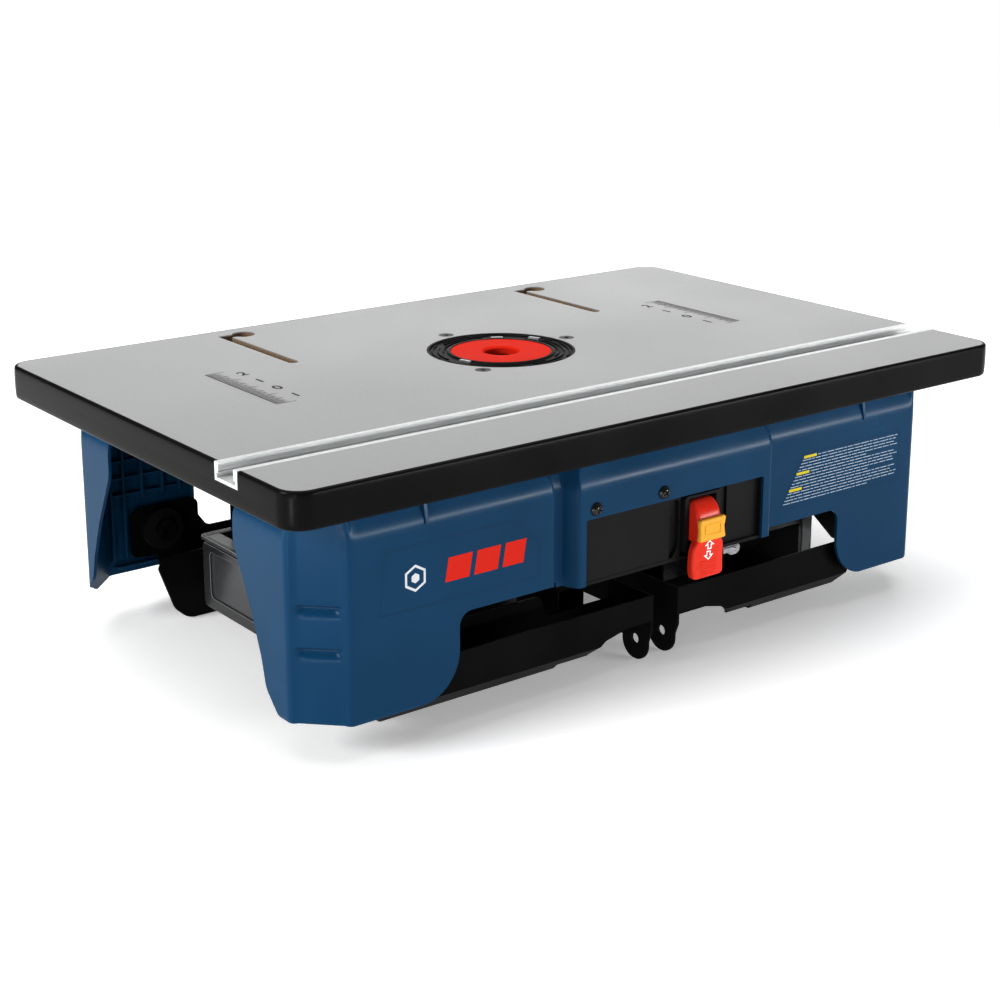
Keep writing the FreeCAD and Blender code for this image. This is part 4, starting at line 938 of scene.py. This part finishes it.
def make_hangers():
    """Black plates under the top, inside the right leg's pivots, each with a small round catch."""
    for label, side in (("front", -1), ("rear", 1)):
        near, far = sorted((side * 117.2, side * 119.2))
        outline = rounded([
            (238, 27), (238, 116, 8), (224, 147, 6), (250, 174.5, 5), (266, 174.5, 6), (277, 152, 8),
            (277, 27)])
        plate = slab(f"right_{label}_hanger", outline, "xz", near, far, COAT)
        profile = ((6.4, 117.4), (6.4, 114.6), (5.6, 113.6), (2.6, 113.4), (2.2, 114.2))
        rings = [at_depth(circle(247, 158.8, radius), "xz", side * depth) for radius, depth in profile]
        catch = ring_loft(f"catch_{label}", rings, GLOSS_BLACK, "table", 50)
        soften(join(f"right_{label}_hanger", [plate, catch]), 0.4)


RING_Y = 14


def make_support_ring():
    """Support ring with a raised rim, a sunk face with curved ridges, and its ledge for the insert."""
    profile = [
        (59.0, 0.9), (58.7, 0.3), (58.0, 0.1), (57.2, 0.3), (56.8, 1.4), (43.2, 1.4), (42.8, 0.7), (42.0, 0.4),
        (40.6, 0.4), (40.1, 0.8), (40.1, 6.9), (34.6, 6.9), (34.0, 7.5), (34.0, 24.9), (34.6, 25.4),
        (58.4, 25.4), (59.0, 24.9),
    ]
    outlines = [at_depth(circle(0, RING_Y, radius, 96), "xy", drop) for radius, drop in profile]
    outlines.append(outlines[0])
    ring = ring_loft("support_ring_moulding", outlines, RING, "table", 50, False)
    slots = []
    for angle, reach in ((57, 45.0), (21, 51.5), (194, 44.5)):
        turn = math.radians(angle)
        across = Vector((math.cos(turn), math.sin(turn)))
        along = Vector((-math.sin(turn), math.cos(turn)))
        middle = Vector((0, RING_Y)) + across * reach
        corners = [middle + along * a + across * c for a, c in rectangle(-5, -1.7, 5, 1.7)]
        slots.append(cutter("clip_slot", [tuple(c) for c in corners], "xy", -1, 2.4))
    carve(ring, slots)
    ridges = []
    for radius, width, spans in (
            (54.0, 1.2, ((4, 12), (30, 52), (64, 112), (124, 172), (184, 232), (244, 292), (304, 352))),
            (49.6, 1.0, ((70, 118), (130, 178), (204, 252), (262, 310), (322, 372))),
            (45.4, 0.9, ((84, 150), (208, 282), (300, 388)))):
        for first, last in spans:
            steps = max(4, int((last - first) / 5))
            turns = [math.radians(first + (last - first) * k / steps) for k in range(steps + 1)]
            outer, inner = (
                [(r * math.cos(t), RING_Y + r * math.sin(t)) for t in turns] for r in (radius + width, radius))
            ridges.append(slab("ridge", outer + inner[::-1], "xy", 0.5, 1.8, RING, "table", "ring"))
    soften(join("ring_ridges", ridges), 0.3)
    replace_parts(ring, "support_ring")


def print_piece(name, shapes, plane, face, material, body="table"):
    """Thin printed shapes on a face; shapes are outlines in the plane."""
    points, faces = [], []
    for outline in shapes:
        start = len(points)
        points += at_depth(outline, plane, face)
        faces.append(tuple(range(start, start + len(outline))))
    return mesh_piece(name, points, faces, material, body, 0)


def make_cover_screws():
    """Glossy domed heads of the two cover screws, each with a cross recess."""
    heads = []
    profile = [(1.6, 3.15), (3.0, 2.65), (4.1, 1.7), (4.8, 0.6), (5.0, 0.0)]
    drop, cover = 66.5, -187.0
    for number, x in enumerate((-69.5, -6.0)):
        rings = [at_depth(circle(x, drop, radius, 32), "xz", cover - rise) for radius, rise in profile]
        rings.append(at_depth(circle(x, drop, profile[-1][0], 32), "xz", -186.4))
        head = ring_loft(f"cover_screw_{number}", rings, GLOSS_BLACK, "table", 50)
        turn = math.radians(18 + 40 * number)
        gaps = []
        for quarter in (0, math.pi / 2):
            along = Vector((math.cos(turn + quarter), math.sin(turn + quarter)))
            across = Vector((-along.y, along.x)) * 0.55
            arm = along * 2.7
            corners = [arm + across, across - arm, -arm - across, arm - across]
            gaps.append(cutter("cross", [(x + c.x, drop + c.y) for c in corners], "xz", -192, -188.6))
        carve(head, gaps)
        heads.append(head)
    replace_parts(join("cover_screw_heads", heads), "switch_box_screws")


def make_bracket():
    """Small bright bracket: a curled lug under the switch box."""
    outline = rounded([
        (58, 123.4), (75, 123.4, 2), (75, 130.6, 4.5), (66, 130.6, 3), (62, 128.2, 2), (58, 128.2)])
    lug = slab("bracket_lug", outline, "xz", -184, -182.6, STEEL, "table", "bracket")
    carve(lug, [cutter("bracket_hole", circle(69.8, 126.6, 1.5), "xz", -186, -180)])
    bend = 4.2
    turns = [math.pi / 2 * k / 6 for k in range(7)]
    curl = [(-184 + bend - bend * math.cos(t), 130.6 - bend + bend * math.sin(t)) for t in turns]
    inner = [(y + 0.9 if index < 3 else y, drop - 1.2) for index, (y, drop) in enumerate(curl)]
    tail = slab("bracket_curl", curl + inner[::-1], "yz", 66, 73, STEEL, "table", "bracket")
    shelf = slab("bracket_shelf", rounded([(58, -184), (75, -184, 2), (75, -160, 2), (58, -160)]), "xy",
                 123.1, 124.5, STEEL, "table", "bracket")
    bracket = join("bracket_lug", [lug, tail, shelf])
    soften(bracket, 0.35)
    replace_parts(bracket, "switch_bracket")


PRINT = -0.04
# side, base line, first and last mark, middle of the numbers, first number
SCALES = ((-1, -227.0, -22.0, 82.5, -202.6, 68.8), (1, 224.2, -25.0, 77.5, 201.0, 65.6))
# marks of a scale: every so many, of this length
MARKS = ((8, 16.0), (4, 12.5), (2, 10.0), (1, 7.5))
NUMBER_PITCH = 25.5


def make_scales():
    """Two printed fence scales with short, middle and long marks and numbers, and a painted shadow fading from
    each base line.
    """
    for side, base, low, high, numbers_x, first in SCALES:
        name = "left" if side < 0 else "right"
        marks = [bar(base, (low + high) / 2, 0.8, high - low)]
        count = 32
        for index in range(count + 1):
            y = low + (high - low) * index / count
            length = next(length for step, length in MARKS if index % step == 0)
            marks.append(bar(base - side * length / 2, y, length, 0.7))
        print_piece(f"{name}_scale_marks", marks, "xy", PRINT, PRINT_DARK)
        # thinning grey bars that fade away from the base line: a painted shadow
        shade = []
        for index in range(14):
            x, width = base - side * (index + 0.5) * 0.8, 0.34 - 0.018 * index
            shade.append(bar(x, (low + high) / 2, width, high - low))
        print_piece(f"{name}_scale_painted_shadow", shade, "xy", PRINT * 0.5, PAINTED_SHADOW_GREY)
        for index, digit in enumerate("2101"):
            curve = bpy.data.curves.new(f"{name}_digit_{index}", "FONT")
            curve.body = digit
            curve.size = 14.5 * MM
            curve.offset = 0.3 * MM
            curve.align_x = "CENTER"
            curve.align_y = "CENTER"
            text = bpy.data.objects.new(f"{name}_digit_{index}", curve)
            bpy.context.scene.collection.objects.link(text)
            text.location = (numbers_x * MM, (first - NUMBER_PITCH * index) * MM, level(PRINT))
            curve.materials.append(PRINT_DARK)
            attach(text, "table")


def hexagon(u, v, radius, turn=0.0):
    """Six-sided outline."""
    turns = [math.radians(60 * k + turn) for k in range(6)]
    return [(u + radius * math.cos(t), v + radius * math.sin(t)) for t in turns]


def ring_band(outer, inner):
    """Quads between two outlines of the same number of corners."""
    count = len(outer)
    return [[outer[k], outer[(k + 1) % count], inner[(k + 1) % count], inner[k]] for k in range(count)]


def frame_strips(points, width):
    """Thin strips along the sides of a closed outline."""
    strips = []
    for (u0, v0), (u1, v1) in zip(points, points[1:] + points[:1]):
        along = Vector((u1 - u0, v1 - v0)).normalized()
        side = Vector((-along.y, along.x)) * width / 2
        a, b = Vector((u0, v0)) - along * width / 2, Vector((u1, v1)) + along * width / 2
        strips.append([tuple(a - side), tuple(b - side), tuple(b + side), tuple(a + side)])
    return strips


def make_front_prints():
    """Plain generic marks: a hexagon ring and a slanted bar on the left, ruled lines on the right."""
    face = -180.06
    outer, inner, core = (hexagon(-219, 86, radius, 30) for radius in (9.6, 7.6, 3.6))
    print_piece("maker_hexagon", ring_band(outer, inner) + [core], "xz", face, PRINT_SILVER)
    bars = [
        [(-195, 94.5), (-192, 77.5), (-172, 77.5), (-175, 94.5)],
        [(-171, 94.5), (-168, 77.5), (-148, 77.5), (-151, 94.5)],
        [(-147, 94.5), (-144, 77.5), (-126, 77.5), (-129, 94.5)],
    ]
    print_piece("maker_bars", bars, "xz", face, PRINT_RED)
    left_label = [(-247, 107), (-243, 63), (-138, 63), (-128, 70), (-115, 84), (-115, 107)]
    print_piece("left_label_line", frame_strips(left_label, 0.35), "xz", face, PRINT_EDGE)
    lines, starts = [], []
    top, pitch, slant = 69.5, 2.45, 0.62
    for index in range(15):
        drop = top + index * pitch
        left = 145.0 - (drop - top) * slant
        if index in (0, 5, 10):
            starts.append(rectangle(left, drop - 1.1, left + 14, drop + 1.1))
            left += 15.5
        right = 252 - (34 if index in (4, 9, 14) else 2 * (index % 3))
        u, word = left, 0
        while u < right - 3:
            length = 3.2 + 2.1 * ((index * 7 + word * 5) % 4)
            width = min(length, right - u)
            lines.append(bar(u + width / 2, drop, width, 0.62))
            u += length + 1.0
            word += 1
    print_piece("right_label_lines", lines, "xz", face, PRINT_FAINT)
    print_piece("right_label_blocks", starts, "xz", face, PRINT_YELLOW)
    right_label = [(121, 107), (144, 66.5), (254.5, 66.5), (254.5, 107)]
    print_piece("right_label_line", frame_strips(right_label, 0.35), "xz", face, PRINT_EDGE)


# ---------------------------------------------------------------- the whole table

for name, material in NODE_MATERIALS.items():
    item = frame["nodes"][name]
    for index in range(len(item.material_slots)):
        item.material_slots[index].material = material
    if name in BEVELS:
        soften(item, BEVELS[name])

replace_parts(make_front_skirt(), "front_skirt")
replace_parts(make_rear_skirt(-1, "rear_left_skirt_moulding"), "rear_left_skirt")
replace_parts(make_rear_skirt(1, "rear_right_skirt_moulding"), "rear_right_skirt")
make_gussets()
make_rear_ribs(-1, "rear_left_ribs")
make_rear_ribs(1, "rear_right_ribs")
make_flanges()
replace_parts(make_edge_band(), "edge_band")
make_paddle()
make_key()
make_cover_screws()
make_bracket()
for tray_end in ("left", "right"):
    make_tray(tray_end)
make_hangers()
make_support_ring()
make_scales()
make_front_prints()
